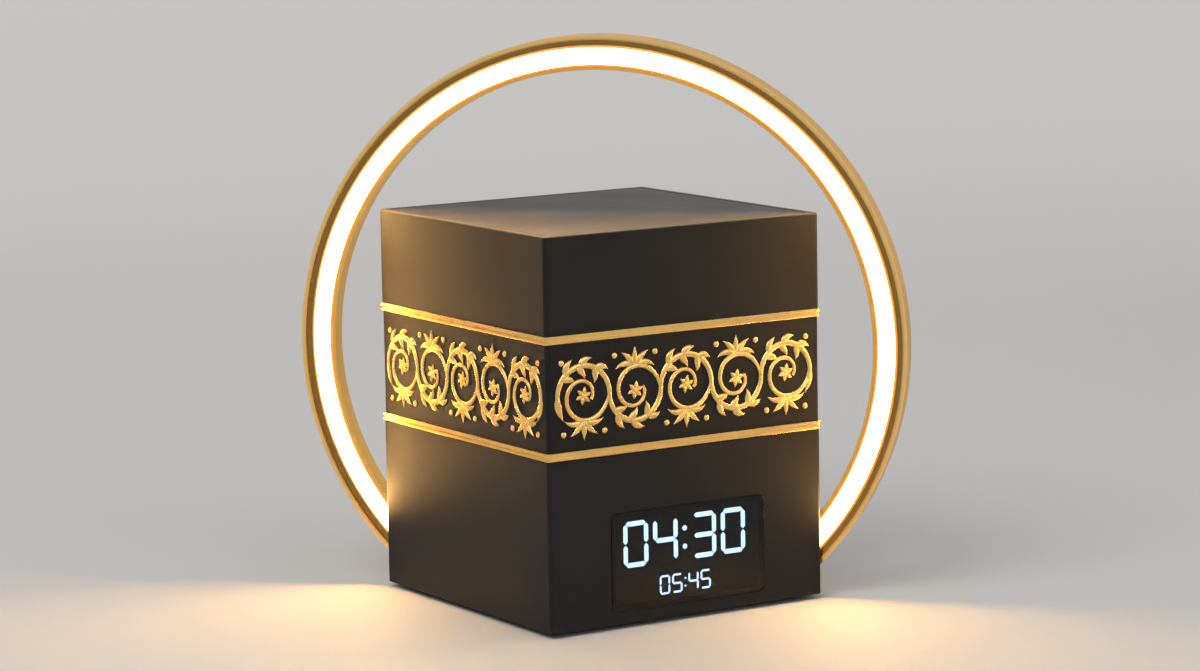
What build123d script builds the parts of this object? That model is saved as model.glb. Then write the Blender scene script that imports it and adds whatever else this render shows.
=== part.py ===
from build123d import *
from math import asin, degrees, sqrt
import os

os.makedirs("parts", exist_ok=True)

# Desk clock with a ring light: a square housing with a relief band, a display low on its front
# face and a C-shaped ring that stands behind the housing's diagonal.
# Millimetres. The origin is on the floor under the housing's axis. +Z is up, the display faces -Y.

# ---------------------------------------------------------------- housing
body_width = 100.0            # across X
body_depth = 100.0            # across Y
body_height = 122.0           # floor to the top of the tap plate
corner_radius = 1.2           # upright edges
wall = 2.6
part_gap = 0.4                # play between plastic parts that slip into each other
fit_gap = 0.15                # play between parts that are glued or clipped
slide_gap = 0.3               # play round a button or a knob
pin_gap = 0.05                # radial play of a guide pin

# ---------------------------------------------------------------- base
pad_size = 72.0
pad_radius = 8.0
pad_thickness = 2.0
pad_recess = 0.4              # depth of the pad's seat in the base plate
base_thickness = 3.0

# ---------------------------------------------------------------- relief band
band_low = 54.2               # height of the lower trim's lower face
trim_height = 2.5
band_height = 32.9            # sleeve between the trims
core_wall = 2.4
core_rise = 3.0               # spigot above the upper trim
sleeve_inset = 0.2            # sleeve behind the housing's face
trim_proud = 0.4
groove_width = 0.6
groove_depth = 0.4

# ---------------------------------------------------------------- tap plate
plate_thickness = 2.6
plate_travel = 0.4
plate_stop = 0.15             # gap left over the ledge when the plate is pressed
plate_edge = 0.3              # rounding of its upper edge
plate_ledge = 1.2             # width of the ledge in the wall that stops the plate
rim_edge = 0.6                # rounding of the rim round the plate
plate_boss_radius = 3.0       # boss that presses the switch
plate_boss = 2.0
skirt_depth = 6.0
skirt_wall = 1.6
deck_drop = 11.0              # plate's underside to the deck
deck_thickness = 2.4
guide_inset = 14.6            # guide pins, from the core's inner face
guide_radius = 2.0
guide_tail = 2.6              # pin below the deck
clip_thickness = 0.8
clip_radius = 3.4
clip_bite = 0.4               # groove depth in the pin
clip_play = 0.1               # clip below the deck
spring_radius = 3.3
spring_wire = 0.6
spring_pitch = 2.0
spring_play = 0.05            # at each end of the spring
pillar_inset = 4.6            # housing screws, from the core's inner face
pillar_radius = 4.8
post_length = 30.0            # post in the core under each pillar
housing_screw_sink = 3.0      # screw head's seat, below the deck
housing_thread = 12.0
switch_board_width = 32.0
switch_board_depth = 18.0
switch_board_screw = 12.0

# ---------------------------------------------------------------- window and display
window_width = 56.4
window_height = 30.8
window_low = 5.2
window_radius = 2.0
window_thickness = 1.6
window_proud = 0.25
window_ledge = 1.8
display_cover = 0.2           # display module behind the opening's edge
display_thickness = 6.0
display_board_margin = 6.4    # board beyond the display module
display_board_height = 33.0
display_board_rise = 1.2      # board's middle above the window's middle
display_gap = 0.1             # module behind the front wall
board_screw_inset = 3.2       # screws, from a board's edges
segment_proud = 0.1
digit_height = 14.3           # large row: hours and minutes
digit_width = 9.0
digit_pitch = 10.8
digit_stroke = 1.5
digit_play = 0.3              # gap between two bars
colon_rise = 0.2              # dots from the row's middle, as a share of its height
colon_dot = 0.55              # dots' radius, as a share of the stroke
digit_rise = 4.7              # row's middle above the window's middle
colon_gap = 5.2               # between the two pairs of digits
small_scale = 0.42            # small row, as a share of the large one
small_drop = 9.3              # row's middle below the window's middle

# ---------------------------------------------------------------- ring light
ring_corner_gap = 9.9         # housing's upper corner to the middle of the ring's face
ring_width = 11.0             # across the channel, radially
ring_depth = 10.0             # along the ring's axis
ring_setback = 2.0            # front of the channel, behind the housing's diagonal
rim_width = 3.2               # outer rim beside the diffuser
rim_step_width = 1.7
rim_step_depth = 0.9
lip_width = 0.9               # inner lip beside the diffuser
lip_drop = 0.6
channel_floor = 1.6
channel_edge = 2.0            # rounding of the channel's back edges
diffuser_depth = 4.3
diffuser_crown = 0.8
diffuser_sink = 0.1
ledge_width = 0.8             # ledges that the diffuser rests on
foot_height = 9.4             # solid foot at each end of the channel
foot_thread = 4.6
foot_margin = 3.5             # foot screws, from the walls' inner faces
led_margin = 3.0              # degrees between a foot and the nearest LED
strip_width = 4.4
strip_thickness = 0.4
led_length = 3.5
led_width = 2.8
led_thickness = 0.9
led_count = 42

# ---------------------------------------------------------------- boards and screws
board_thickness = 1.6
screw_head_radius = 2.4
screw_head_height = 1.7
screw_radius = 1.25
pilot_gap = 0.1               # pilot hole's radius over its screw's
screw_hole_gap = 0.3          # clearance hole's radius over its screw's
head_seat = 1.0               # base plate left above a screw head
base_thread = 6.0
small_head_radius = 1.9
small_head_height = 1.2
small_screw_radius = 0.9
small_thread = 3.0
small_pilot_depth = 5.0
small_boss_radius = 2.6
thread_end = 0.6              # pilot hole beyond the screw's end

# ---------------------------------------------------------------- rear controls
board_standoff = 8.8          # rear wall's inner face to the main board
main_board_width = 62.0
main_board_height = 40.0
main_board_low = 10.0
main_board_margin = 3.4       # board to the right wall's inner face
button_spacing = 14.0
button_height = 40.0
button_length = 10.0
button_width = 5.0
button_proud = 1.0
button_edge = 0.5             # rounding of its outer edge
button_travel = 0.8
flange_margin = 1.2
flange_thickness = 1.0
stem_radius = 1.5
switch_size = 6.0
switch_depth = 3.8
plunger_radius = 1.7
plunger_gap = 0.1
plunger_rise = 1.4            # plunger out of its switch
plunger_root = 1.2            # plunger inside its switch
switch_floor = 1.0
socket_row = 20.0             # height of the inlet, the reset hole and the power switch
inlet_offset = 0.0            # places along the row, from the board's middle
knob_offset = 19.0
reset_offset = -17.0
inlet_width = 8.94
inlet_height = 3.26
inlet_wall = 0.3
inlet_recess = 0.4            # mouth behind the rear face
tongue_width = 6.7
tongue_thickness = 0.7
tongue_length = 6.4
tongue_sink = 1.0             # tongue behind the shell's mouth
knob_width = 4.0
knob_height = 3.4
knob_proud = 1.2
knob_travel = 3.0
knob_cover = 0.5              # flange past the slot at both ends of its travel
rib_pitch = 1.2
rib_groove = 0.5
rib_depth = 0.4
slider_width = 11.0
slider_height = 5.6
slider_depth = 5.0
tab_width = 2.4
tab_height = 1.6
tab_depth = 2.0               # knob's tab inside the switch's body
reset_radius = 0.8
reset_size = 4.0
reset_depth = 6.0
reset_pin_radius = 1.1
reset_pin_rise = 1.4
coin_radius = 6.25
coin_thickness = 2.0
coin_floor = 1.0
coin_rim = 1.75
coin_offset = -16.0           # coin cell, from the board's middle
coin_drop = 11.0

# ---------------------------------------------------------------- loudspeaker
speaker_y = 12.0
speaker_z = 31.0
speaker_frame = 38.0
speaker_screw_place = 16.5
speaker_opening = 15.0        # radius of the surround's outer edge
speaker_flange = 1.2
speaker_thread = 1.4          # screw in the wall
surround_width = 2.5
cone_low = 0.6                # cone's rim below the flange
cone_depth = 3.8
cone_wall = 0.5
cap_radius = 4.0              # dust cap
cap_rise = 1.3
gasket_thickness = 0.8
gasket_width = 3.0
gasket_relief = 0.2           # gasket cut round the screw pads
basket_depth = 7.0
basket_wall = 0.8
basket_gap = 0.6              # basket's opening round the surround
basket_root = 0.4             # basket's wall sunk into the flange
magnet_radius = 10.0
magnet_thickness = 6.0
sound_hole_radius = 0.9
sound_hole_pitch = 3.4
sound_hole_rings = 4

# ---------------------------------------------------------------- cell
cell_radius = 9.25
cell_length = 65.0
cell_cap_radius = 3.0
cell_cap_rise = 1.2
cell_x = -8.0
cell_y = -8.0
cradle_wall = 1.6
cradle_side = 2.0
cradle_height = 16.0
cradle_ear = 8.0
cradle_ear_width = 12.0
cradle_plate = 2.0
cradle_thread = 1.8

# ---------------------------------------------------------------- worked-out places
half_width = body_width / 2
half_depth = body_depth / 2
inner_x = half_width - wall
inner_y = half_depth - wall
base_low = pad_thickness - pad_recess
base_top = base_low + base_thickness
sleeve_low = band_low + trim_height
sleeve_top = sleeve_low + band_height
band_top = sleeve_top + trim_height
core_top = band_top + core_rise
core_x = inner_x - part_gap
core_y = inner_y - part_gap
core_inner_x = core_x - core_wall
core_inner_y = core_y - core_wall
pillar_x = core_inner_x - pillar_inset
pillar_y = core_inner_y - pillar_inset
guide_x = core_inner_x - guide_inset
guide_y = core_inner_y - guide_inset
plate_low = body_height - plate_thickness
ledge_top = plate_low - plate_stop - plate_travel
ledge_x = inner_x - plate_ledge
ledge_y = inner_y - plate_ledge
deck_top = plate_low - deck_drop
deck_low = deck_top - deck_thickness
clip_top = deck_low - clip_play
display_width = window_width - 2 * (window_ledge - display_cover)
display_height = window_height - 2 * (window_ledge - display_cover)
display_board_width = display_width + 2 * display_board_margin
display_face = -inner_y + display_gap
display_board_face = display_face + display_thickness
main_board_face = inner_y - board_standoff
main_board_x = inner_x - main_board_margin - main_board_width / 2
plunger_top = main_board_face + switch_depth + plunger_rise
inlet_x = main_board_x + inlet_offset
knob_x = main_board_x + knob_offset
reset_x = main_board_x + reset_offset

# The middle line of the ring's face meets the foot screws and passes outside the housing's upper corners.
body_diagonal = sqrt(body_width ** 2 + body_depth ** 2)
foot_setback = ring_setback + ring_depth * 0.4
foot_level = base_top + foot_thread / 2
foot_reach = min(((inner_x - foot_margin) * body_diagonal - foot_setback * body_depth) / body_width,
                 ((inner_y - foot_margin) * body_diagonal - foot_setback * body_width) / body_depth)
corner_reach = body_diagonal / 2 + ring_corner_gap
ring_height = (corner_reach ** 2 - foot_reach ** 2 + body_height ** 2 - foot_level ** 2) / (
    2 * (body_height - foot_level))
ring_middle = sqrt(foot_reach ** 2 + (ring_height - foot_level) ** 2)
pocket_width = ring_width - rim_width - lip_width
pocket_low = ring_middle - pocket_width / 2
pocket_high = ring_middle + pocket_width / 2
ring_inner = pocket_low - lip_width
ring_radius = pocket_high + rim_width

# The ring stands in an upright plane along the housing's left-rear to right-front diagonal.
ring_along = Vector(body_width, -body_depth, 0).normalized()
ring_facing = Vector(-body_depth, -body_width, 0).normalized()
ring_centre = Vector(0, 0, ring_height)
ring_section = Plane(origin=ring_centre, x_dir=Vector(0, 0, 1), z_dir=ring_along)
ring_front = Plane(origin=ring_centre, x_dir=ring_along, z_dir=ring_facing)
ring_axis = Axis(ring_centre, ring_facing)


def save(builder, name):
    """Label a finished piece and write it to its own file."""
    builder.part.label = name
    export_step(builder.part, f"parts/{name}.step")


def screw(head_radius, head_height, shank_radius, length):
    """Pan-head screw: its head stands on Z = 0 and its shank points down."""
    with BuildPart() as body:
        with BuildSketch():
            Circle(head_radius)
        extrude(amount=head_height)
        fillet(body.faces().sort_by(Axis.Z)[-1].edges(), head_height * 0.4)
        with BuildSketch():
            Circle(shank_radius)
        extrude(amount=-length)
        with BuildSketch(Plane.XY.offset(head_height)):
            Rectangle(head_radius * 1.2, head_radius * 0.28)
            Rectangle(head_radius * 0.28, head_radius * 1.2)
        extrude(amount=-head_height * 0.5, mode=Mode.SUBTRACT)
    return body.part


def corners(place_x, place_y):
    """The four places at plus and minus two distances from the axis."""
    return GridLocations(2 * place_x, 2 * place_y, 2, 2)


# ================================================================ ring light
with BuildPart() as ring_envelope:            # the room that the housing leaves for the channel
    with BuildSketch(ring_section):
        with Locations((ring_radius - ring_width / 2, -ring_setback - ring_depth / 2)):
            Rectangle(ring_width + 2 * part_gap, ring_depth + 2 * part_gap)
    revolve(axis=ring_axis)
    split(bisect_by=Plane.XY.offset(base_low), keep=Keep.TOP)

with BuildPart() as ring_pocket:              # the trough that holds the LEDs and the diffuser
    with BuildSketch(ring_section):
        with Locations((ring_middle, -ring_setback)):
            Rectangle(pocket_high - pocket_low, diffuser_sink + diffuser_crown + diffuser_depth,
                      align=(Align.CENTER, Align.MAX))
            Rectangle(pocket_high - pocket_low - 2 * ledge_width, ring_depth - channel_floor,
                      align=(Align.CENTER, Align.MAX))
    revolve(axis=ring_axis)
    split(bisect_by=Plane.XY.offset(base_top + foot_height), keep=Keep.TOP)

foot_places = [ring_along * side * foot_reach - ring_facing * foot_setback for side in (-1, 1)]

with BuildPart() as ring_channel:
    with BuildSketch(ring_section):
        with Locations((ring_inner, -ring_setback)):
            Rectangle(ring_width, ring_depth, align=(Align.MIN, Align.MAX))
            Rectangle(lip_width, lip_drop, align=(Align.MIN, Align.MAX), mode=Mode.SUBTRACT)
        with Locations((pocket_high, -ring_setback)):
            Rectangle(rim_step_width, rim_step_depth, align=(Align.MIN, Align.MAX),
                      mode=Mode.SUBTRACT)
        fillet(vertices().group_by(Axis.Y)[0], channel_edge)
    revolve(axis=ring_axis)
    split(bisect_by=Plane.XY.offset(base_low), keep=Keep.TOP)
    # inside the walls the feet stand on the base plate
    with BuildSketch(Plane.XY.offset(base_top)):
        Rectangle(2 * inner_x, 2 * inner_y)
    extrude(amount=-base_top, mode=Mode.SUBTRACT)
    add(ring_pocket.part, mode=Mode.SUBTRACT)
    with Locations(*[(p.X, p.Y, base_top) for p in foot_places]):
        Cylinder(screw_radius + pilot_gap, foot_thread + thread_end, mode=Mode.SUBTRACT,
                 align=(Align.CENTER, Align.CENTER, Align.MIN))
save(ring_channel, "ring_channel")

with BuildPart() as ring_diffuser:
    half_face = (pocket_high - pocket_low) / 2 - fit_gap
    face_back = -ring_setback - diffuser_sink - diffuser_crown - diffuser_depth
    face_edge = face_back + diffuser_depth
    with BuildSketch(ring_section):
        with BuildLine():
            Polyline((ring_middle - half_face, face_edge), (ring_middle - half_face, face_back),
                     (ring_middle + half_face, face_back), (ring_middle + half_face, face_edge))
            ThreePointArc((ring_middle + half_face, face_edge),
                          (ring_middle, face_edge + diffuser_crown),
                          (ring_middle - half_face, face_edge))
        make_face()
    revolve(axis=ring_axis)
    split(bisect_by=Plane.XY.offset(base_top + foot_height + fit_gap), keep=Keep.TOP)
save(ring_diffuser, "ring_diffuser")

trough_floor = -ring_setback - ring_depth + channel_floor
with BuildPart() as ring_led_board:
    with BuildSketch(ring_section):
        with Locations((ring_middle, trough_floor)):
            Rectangle(strip_width, strip_thickness, align=(Align.CENTER, Align.MIN))
    revolve(axis=ring_axis)
    split(bisect_by=Plane.XY.offset(base_top + foot_height + fit_gap), keep=Keep.TOP)
save(ring_led_board, "ring_led_board")

led_start = led_margin - degrees(asin((ring_height - base_top - foot_height) / ring_middle))
with BuildPart() as ring_leds:
    with Locations(ring_front.offset(trough_floor + strip_thickness)):
        with PolarLocations(ring_middle, led_count, start_angle=led_start,
                            angular_range=180 - 2 * led_start, endpoint=True):
            Box(led_width, led_length, led_thickness,
                align=(Align.CENTER, Align.CENTER, Align.MIN))
save(ring_leds, "ring_leds")

# ================================================================ lower housing
boss_size = 7.2
boss_height = 9.4
boss_inset = 5.0                              # screw, from the wall's inner face
boss_root = 0.5                               # boss sunk into the wall
side_boss_y = 14.0
boss_x = inner_x - boss_inset
boss_y = inner_y - boss_inset
base_places = [(-boss_x, -boss_y), (boss_x, boss_y), (boss_x, -side_boss_y), (-boss_x, side_boss_y)]

window_middle = window_low + window_height / 2
board_screw_x = main_board_width / 2 - board_screw_inset
board_screw_z = main_board_height / 2 - board_screw_inset
board_middle = main_board_low + main_board_height / 2
display_screw_x = display_board_width / 2 - board_screw_inset
display_screw_z = display_board_height / 2 - board_screw_inset
display_middle = window_middle + display_board_rise

front_face = Plane(origin=(0, -half_depth, window_middle), x_dir=(1, 0, 0), z_dir=(0, -1, 0))
front_inside = Plane(origin=(0, -inner_y, display_middle), x_dir=(1, 0, 0), z_dir=(0, 1, 0))
rear_inside = Plane(origin=(main_board_x, inner_y, board_middle), x_dir=(1, 0, 0), z_dir=(0, -1, 0))
rear_out = Plane(origin=(0, inner_y, 0), x_dir=(-1, 0, 0), z_dir=(0, 1, 0))
speaker_inside = Plane(origin=(inner_x, speaker_y, speaker_z), x_dir=(0, 1, 0), z_dir=(-1, 0, 0))

button_names = ("mode", "previous", "next", "light")
button_xs = [main_board_x + button_spacing * (i - (len(button_names) - 1) / 2)
             for i in range(len(button_names))]
slot_width = knob_width + knob_travel + 2 * slide_gap

with BuildPart() as lower_housing:
    with BuildSketch(Plane.XY.offset(base_low)):
        RectangleRounded(body_width, body_depth, corner_radius)
    extrude(amount=band_low - base_low)
    chamfer(lower_housing.faces().sort_by(Axis.Z)[-1].edges(), 0.35)
    with BuildSketch(Plane.XY.offset(band_low)):
        RectangleRounded(2 * core_x, 2 * core_y, corner_radius)
    extrude(amount=core_top - band_low)
    with BuildSketch(Plane.XY.offset(base_low)):
        RectangleRounded(2 * inner_x, 2 * inner_y, corner_radius)
    extrude(amount=band_low - wall - base_low, mode=Mode.SUBTRACT)
    with BuildSketch(Plane.XY.offset(band_low - wall)):
        RectangleRounded(2 * core_inner_x, 2 * core_inner_y, corner_radius)
    extrude(amount=core_top - band_low + wall, mode=Mode.SUBTRACT)
    # posts for the upper housing's screws
    with BuildSketch(Plane.XY.offset(core_top)):
        with corners(pillar_x, pillar_y):
            Circle(pillar_radius)
    extrude(amount=-post_length)
    with Locations(Plane.XY.offset(core_top)):
        with corners(pillar_x, pillar_y):
            Hole(screw_radius + pilot_gap, housing_thread + thread_end)
    # bosses for the base plate's screws
    boss_block = boss_root + boss_inset + boss_size / 2
    with BuildSketch(Plane.XY.offset(base_top)):
        for side, towards in ((-1, Align.MIN), (1, Align.MAX)):
            with Locations((side * (inner_x + boss_root), side * (inner_y + boss_root))):
                Rectangle(boss_block, boss_block, align=(towards, towards))
            with Locations((side * (inner_x + boss_root), -side * side_boss_y)):
                Rectangle(boss_block, boss_size, align=(towards, Align.CENTER))
    extrude(amount=boss_height)
    with Locations(*[(x, y, base_top) for x, y in base_places]):
        Cylinder(screw_radius + pilot_gap, base_thread + thread_end, mode=Mode.SUBTRACT,
                 align=(Align.CENTER, Align.CENTER, Align.MIN))
    # rebate and opening for the window
    with BuildSketch(front_face):
        RectangleRounded(window_width, window_height, window_radius)
    extrude(amount=-window_thickness + window_proud, mode=Mode.SUBTRACT)
    with BuildSketch(front_face):
        RectangleRounded(window_width - 2 * window_ledge, window_height - 2 * window_ledge, 1)
    extrude(amount=-wall, mode=Mode.SUBTRACT)
    # bosses for the display board
    with BuildSketch(front_inside):
        with corners(display_screw_x, display_screw_z):
            Circle(small_boss_radius)
    extrude(amount=display_board_face + inner_y)
    with Locations(front_inside.offset(display_board_face + inner_y)):
        with corners(display_screw_x, display_screw_z):
            Hole(small_screw_radius + pilot_gap / 2, small_pilot_depth)
    # bosses for the main board
    with BuildSketch(rear_inside):
        with corners(board_screw_x, board_screw_z):
            Circle(small_boss_radius)
    extrude(amount=board_standoff)
    with Locations(rear_inside.offset(board_standoff)):
        with corners(board_screw_x, board_screw_z):
            Hole(small_screw_radius + pilot_gap / 2, small_pilot_depth)
    # openings for the rear controls
    with BuildSketch(rear_out):
        with Locations(*[(-x, button_height) for x in button_xs]):
            RectangleRounded(button_length + 2 * slide_gap, button_width + 2 * slide_gap,
                             button_width / 2 + slide_gap - 0.01)
        with Locations((-inlet_x, socket_row)):
            RectangleRounded(inlet_width + 2 * slide_gap, inlet_height + 2 * slide_gap,
                             inlet_height / 2 + slide_gap - 0.01)
        with Locations((-knob_x, socket_row)):
            Rectangle(slot_width, knob_height + 2 * slide_gap)
        with Locations((-reset_x, socket_row)):
            Circle(reset_radius)
    extrude(amount=wall, mode=Mode.SUBTRACT)
    # sound holes and screw pads for the loudspeaker
    with BuildSketch(speaker_inside):
        with corners(speaker_screw_place, speaker_screw_place):
            Circle(small_boss_radius)
    extrude(amount=gasket_thickness)
    with Locations(speaker_inside.offset(gasket_thickness)):
        with corners(speaker_screw_place, speaker_screw_place):
            Hole(small_screw_radius + pilot_gap / 2, gasket_thickness + speaker_thread + 0.3)
    with BuildSketch(speaker_inside):
        Circle(sound_hole_radius)
        for ring in range(1, sound_hole_rings + 1):
            with PolarLocations(ring * sound_hole_pitch, 6 * ring):
                Circle(sound_hole_radius)
    extrude(amount=-wall, mode=Mode.SUBTRACT)
    add(ring_envelope.part, mode=Mode.SUBTRACT)
save(lower_housing, "lower_housing")

# ================================================================ base
base_screw = screw(screw_head_radius, screw_head_height, screw_radius, head_seat + base_thread)
ear_offset = cell_radius + cradle_side + cradle_ear / 2
ear_places = [(cell_x, cell_y + side * ear_offset) for side in (-1, 1)]

with BuildPart() as base_plate:
    with BuildSketch(Plane.XY.offset(base_low)):
        RectangleRounded(2 * inner_x - part_gap, 2 * inner_y - part_gap, corner_radius)
    extrude(amount=base_thickness)
    with BuildSketch(Plane.XY.offset(base_low)):
        RectangleRounded(pad_size + 2 * fit_gap, pad_size + 2 * fit_gap, pad_radius + fit_gap)
    extrude(amount=pad_recess, mode=Mode.SUBTRACT)
    screw_places = base_places + [(p.X, p.Y) for p in foot_places]
    with Locations(*[Location((x, y, base_low), (180, 0, 0)) for x, y in screw_places]):
        CounterBoreHole(screw_radius + screw_hole_gap, screw_head_radius + screw_hole_gap,
                        base_thickness - head_seat, base_thickness)
    with Locations(Plane.XY.offset(base_top)):
        with Locations(*ear_places):
            Hole(small_screw_radius + pilot_gap / 2, cradle_thread)
save(base_plate, "base_plate")

with BuildPart() as base_pad:
    with BuildSketch():
        RectangleRounded(pad_size, pad_size, pad_radius)
    extrude(amount=pad_thickness)
    fillet(base_pad.faces().sort_by(Axis.Z)[0].edges(), 0.4)
save(base_pad, "base_pad")

with BuildPart() as base_screws:
    with Locations(*[Location((x, y, base_top - head_seat), (180, 0, 0)) for x, y in base_places]):
        add(base_screw)
save(base_screws, "base_screws")

ring_screw = screw(screw_head_radius, screw_head_height, screw_radius, head_seat + foot_thread)
with BuildPart() as ring_screws:
    with Locations(*[Location((p.X, p.Y, base_top - head_seat), (180, 0, 0)) for p in foot_places]):
        add(ring_screw)
save(ring_screws, "ring_screws")


# ================================================================ relief band
def trim(low):
    """Gold frame with a groove round its face."""
    outer_x = body_width + 2 * trim_proud
    outer_y = body_depth + 2 * trim_proud
    with BuildPart() as frame:
        with BuildSketch(Plane.XY.offset(low)):
            RectangleRounded(outer_x, outer_y, corner_radius)
            RectangleRounded(2 * (core_x + fit_gap), 2 * (core_y + fit_gap), corner_radius,
                             mode=Mode.SUBTRACT)
        extrude(amount=trim_height)
        fillet(frame.edges().filter_by_position(Axis.Z, low, low).sort_by(SortBy.LENGTH)[-4:], 0.3)
        with BuildSketch(Plane.XY.offset(low + (trim_height - groove_width) / 2)):
            RectangleRounded(outer_x + 1, outer_y + 1, corner_radius)
            RectangleRounded(outer_x - 2 * groove_depth, outer_y - 2 * groove_depth, corner_radius,
                             mode=Mode.SUBTRACT)
        extrude(amount=groove_width, mode=Mode.SUBTRACT)
    return frame


lower_trim = trim(band_low)
save(lower_trim, "lower_trim")

upper_trim = trim(sleeve_top)
save(upper_trim, "upper_trim")

with BuildPart() as band_sleeve:
    with BuildSketch(Plane.XY.offset(sleeve_low)):
        RectangleRounded(body_width - 2 * sleeve_inset, body_depth - 2 * sleeve_inset, corner_radius)
        RectangleRounded(2 * (core_x + fit_gap), 2 * (core_y + fit_gap), corner_radius,
                         mode=Mode.SUBTRACT)
    extrude(amount=band_height)
save(band_sleeve, "band_sleeve")

# ================================================================ upper housing
switch_rise = deck_drop - plate_boss - plunger_rise - switch_depth - board_thickness

with BuildPart() as upper_housing:
    with BuildSketch(Plane.XY.offset(band_top)):
        RectangleRounded(body_width, body_depth, corner_radius)
        RectangleRounded(2 * inner_x, 2 * inner_y, corner_radius, mode=Mode.SUBTRACT)
    extrude(amount=body_height - band_top)
    fillet(upper_housing.faces().sort_by(Axis.Z)[-1].outer_wire().edges(), rim_edge)
    # ledge under the tap plate
    with BuildSketch(Plane.XY.offset(deck_top)):
        Rectangle(2 * inner_x + 1, 2 * inner_y + 1)
        RectangleRounded(2 * ledge_x, 2 * ledge_y, corner_radius, mode=Mode.SUBTRACT)
    extrude(amount=ledge_top - deck_top)
    with BuildSketch(Plane.XY.offset(deck_low)):
        Rectangle(2 * inner_x + 1, 2 * inner_y + 1)
    extrude(amount=deck_thickness)
    with BuildSketch(Plane.XY.offset(core_top)):
        with corners(pillar_x, pillar_y):
            Circle(pillar_radius)
    extrude(amount=deck_top - core_top)
    with Locations(Plane.XY.offset(deck_top)):
        with corners(pillar_x, pillar_y):
            CounterBoreHole(screw_radius + screw_hole_gap, screw_head_radius + screw_hole_gap,
                            housing_screw_sink, deck_top - core_top)
        with corners(guide_x, guide_y):
            Hole(guide_radius + pin_gap, deck_thickness)
    # stand-offs for the tap switch's board
    with BuildSketch(Plane.XY.offset(deck_top)):
        with GridLocations(2 * switch_board_screw, 1, 2, 1):
            Circle(small_boss_radius)
    extrude(amount=switch_rise)
    with Locations(Plane.XY.offset(deck_top + switch_rise)):
        with GridLocations(2 * switch_board_screw, 1, 2, 1):
            Hole(small_screw_radius + pilot_gap / 2, small_thread + thread_end)
save(upper_housing, "upper_housing")

housing_screw = screw(screw_head_radius, screw_head_height, screw_radius,
                      deck_top - housing_screw_sink - core_top + housing_thread)
with BuildPart() as housing_screws:
    with Locations(Plane.XY.offset(deck_top - housing_screw_sink)):
        with corners(pillar_x, pillar_y):
            add(housing_screw)
save(housing_screws, "housing_screws")

# ================================================================ tap plate
with BuildPart() as top_plate:
    with BuildSketch(Plane.XY.offset(plate_low)):
        RectangleRounded(2 * (inner_x - slide_gap), 2 * (inner_y - slide_gap), corner_radius)
    extrude(amount=plate_thickness)
    fillet(top_plate.faces().sort_by(Axis.Z)[-1].edges(), plate_edge)
    with BuildSketch(Plane.XY.offset(plate_low)):
        RectangleRounded(2 * (ledge_x - part_gap), 2 * (ledge_y - part_gap), corner_radius)
        RectangleRounded(2 * (ledge_x - part_gap - skirt_wall), 2 * (ledge_y - part_gap - skirt_wall),
                         corner_radius, mode=Mode.SUBTRACT)
    extrude(amount=-skirt_depth)
    with BuildSketch(Plane.XY.offset(plate_low)):
        with corners(guide_x, guide_y):
            Circle(guide_radius)
    extrude(amount=deck_low - guide_tail - plate_low)
    with BuildSketch(Plane.XY.offset(clip_top)):
        with corners(guide_x, guide_y):
            Circle(2 * guide_radius)
            Circle(guide_radius - clip_bite, mode=Mode.SUBTRACT)
    extrude(amount=-clip_thickness, mode=Mode.SUBTRACT)
    with BuildSketch(Plane.XY.offset(plate_low)):
        Circle(plate_boss_radius)
    extrude(amount=-plate_boss)
save(top_plate, "top_plate")

with BuildPart() as plate_clips:
    with BuildSketch(Plane.XY.offset(clip_top)):
        with corners(guide_x, guide_y):
            Circle(clip_radius)
            Circle(guide_radius - clip_bite + pin_gap, mode=Mode.SUBTRACT)
            with Locations((0, -clip_radius / 2)):
                Rectangle(2 * (guide_radius - clip_bite), clip_radius, mode=Mode.SUBTRACT)
    extrude(amount=-clip_thickness)
save(plate_clips, "plate_clips")

with BuildPart() as plate_spring:
    with BuildLine() as coil:
        Helix(spring_pitch, deck_drop - spring_wire - 2 * spring_play, spring_radius,
              center=(0, 0, deck_top + spring_wire / 2 + spring_play))
    with BuildSketch(Plane(origin=coil.line @ 0, z_dir=coil.line % 0)):
        Circle(spring_wire / 2)
    sweep(is_frenet=True)

with BuildPart() as plate_springs:
    with corners(guide_x, guide_y):
        add(plate_spring.part)
save(plate_springs, "plate_springs")

switch_board_low = deck_top + switch_rise
with BuildPart() as tap_board:
    with BuildSketch(Plane.XY.offset(switch_board_low)):
        RectangleRounded(switch_board_width, switch_board_depth, 1)
        with GridLocations(2 * switch_board_screw, 1, 2, 1):
            Circle(small_screw_radius + screw_hole_gap, mode=Mode.SUBTRACT)
    extrude(amount=board_thickness)
save(tap_board, "tap_board")

small_screw = screw(small_head_radius, small_head_height, small_screw_radius,
                    board_thickness + small_thread)
with BuildPart() as tap_board_screws:
    with Locations(Plane.XY.offset(switch_board_low + board_thickness)):
        with GridLocations(2 * switch_board_screw, 1, 2, 1):
            add(small_screw)
save(tap_board_screws, "tap_board_screws")


def push_switch(seat):
    """Square push switch with a bore for its plunger, standing on a plane."""
    with BuildPart() as body:
        with BuildSketch(seat):
            RectangleRounded(switch_size, switch_size, 0.5)
        extrude(amount=switch_depth)
        with BuildSketch(seat.offset(switch_depth)):
            Circle(plunger_radius + plunger_gap)
        extrude(amount=switch_floor - switch_depth, mode=Mode.SUBTRACT)
    return body


def push_plunger(seat):
    """The switch's plunger: it stands out of the bore and reaches down into it."""
    with BuildPart() as body:
        with BuildSketch(seat.offset(switch_depth + plunger_rise)):
            Circle(plunger_radius)
        extrude(amount=-plunger_rise - plunger_root)
    return body


tap_seat = Plane.XY.offset(switch_board_low + board_thickness)
tap_switch = push_switch(tap_seat)
save(tap_switch, "tap_switch")

tap_plunger = push_plunger(tap_seat)
save(tap_plunger, "tap_plunger")

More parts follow.
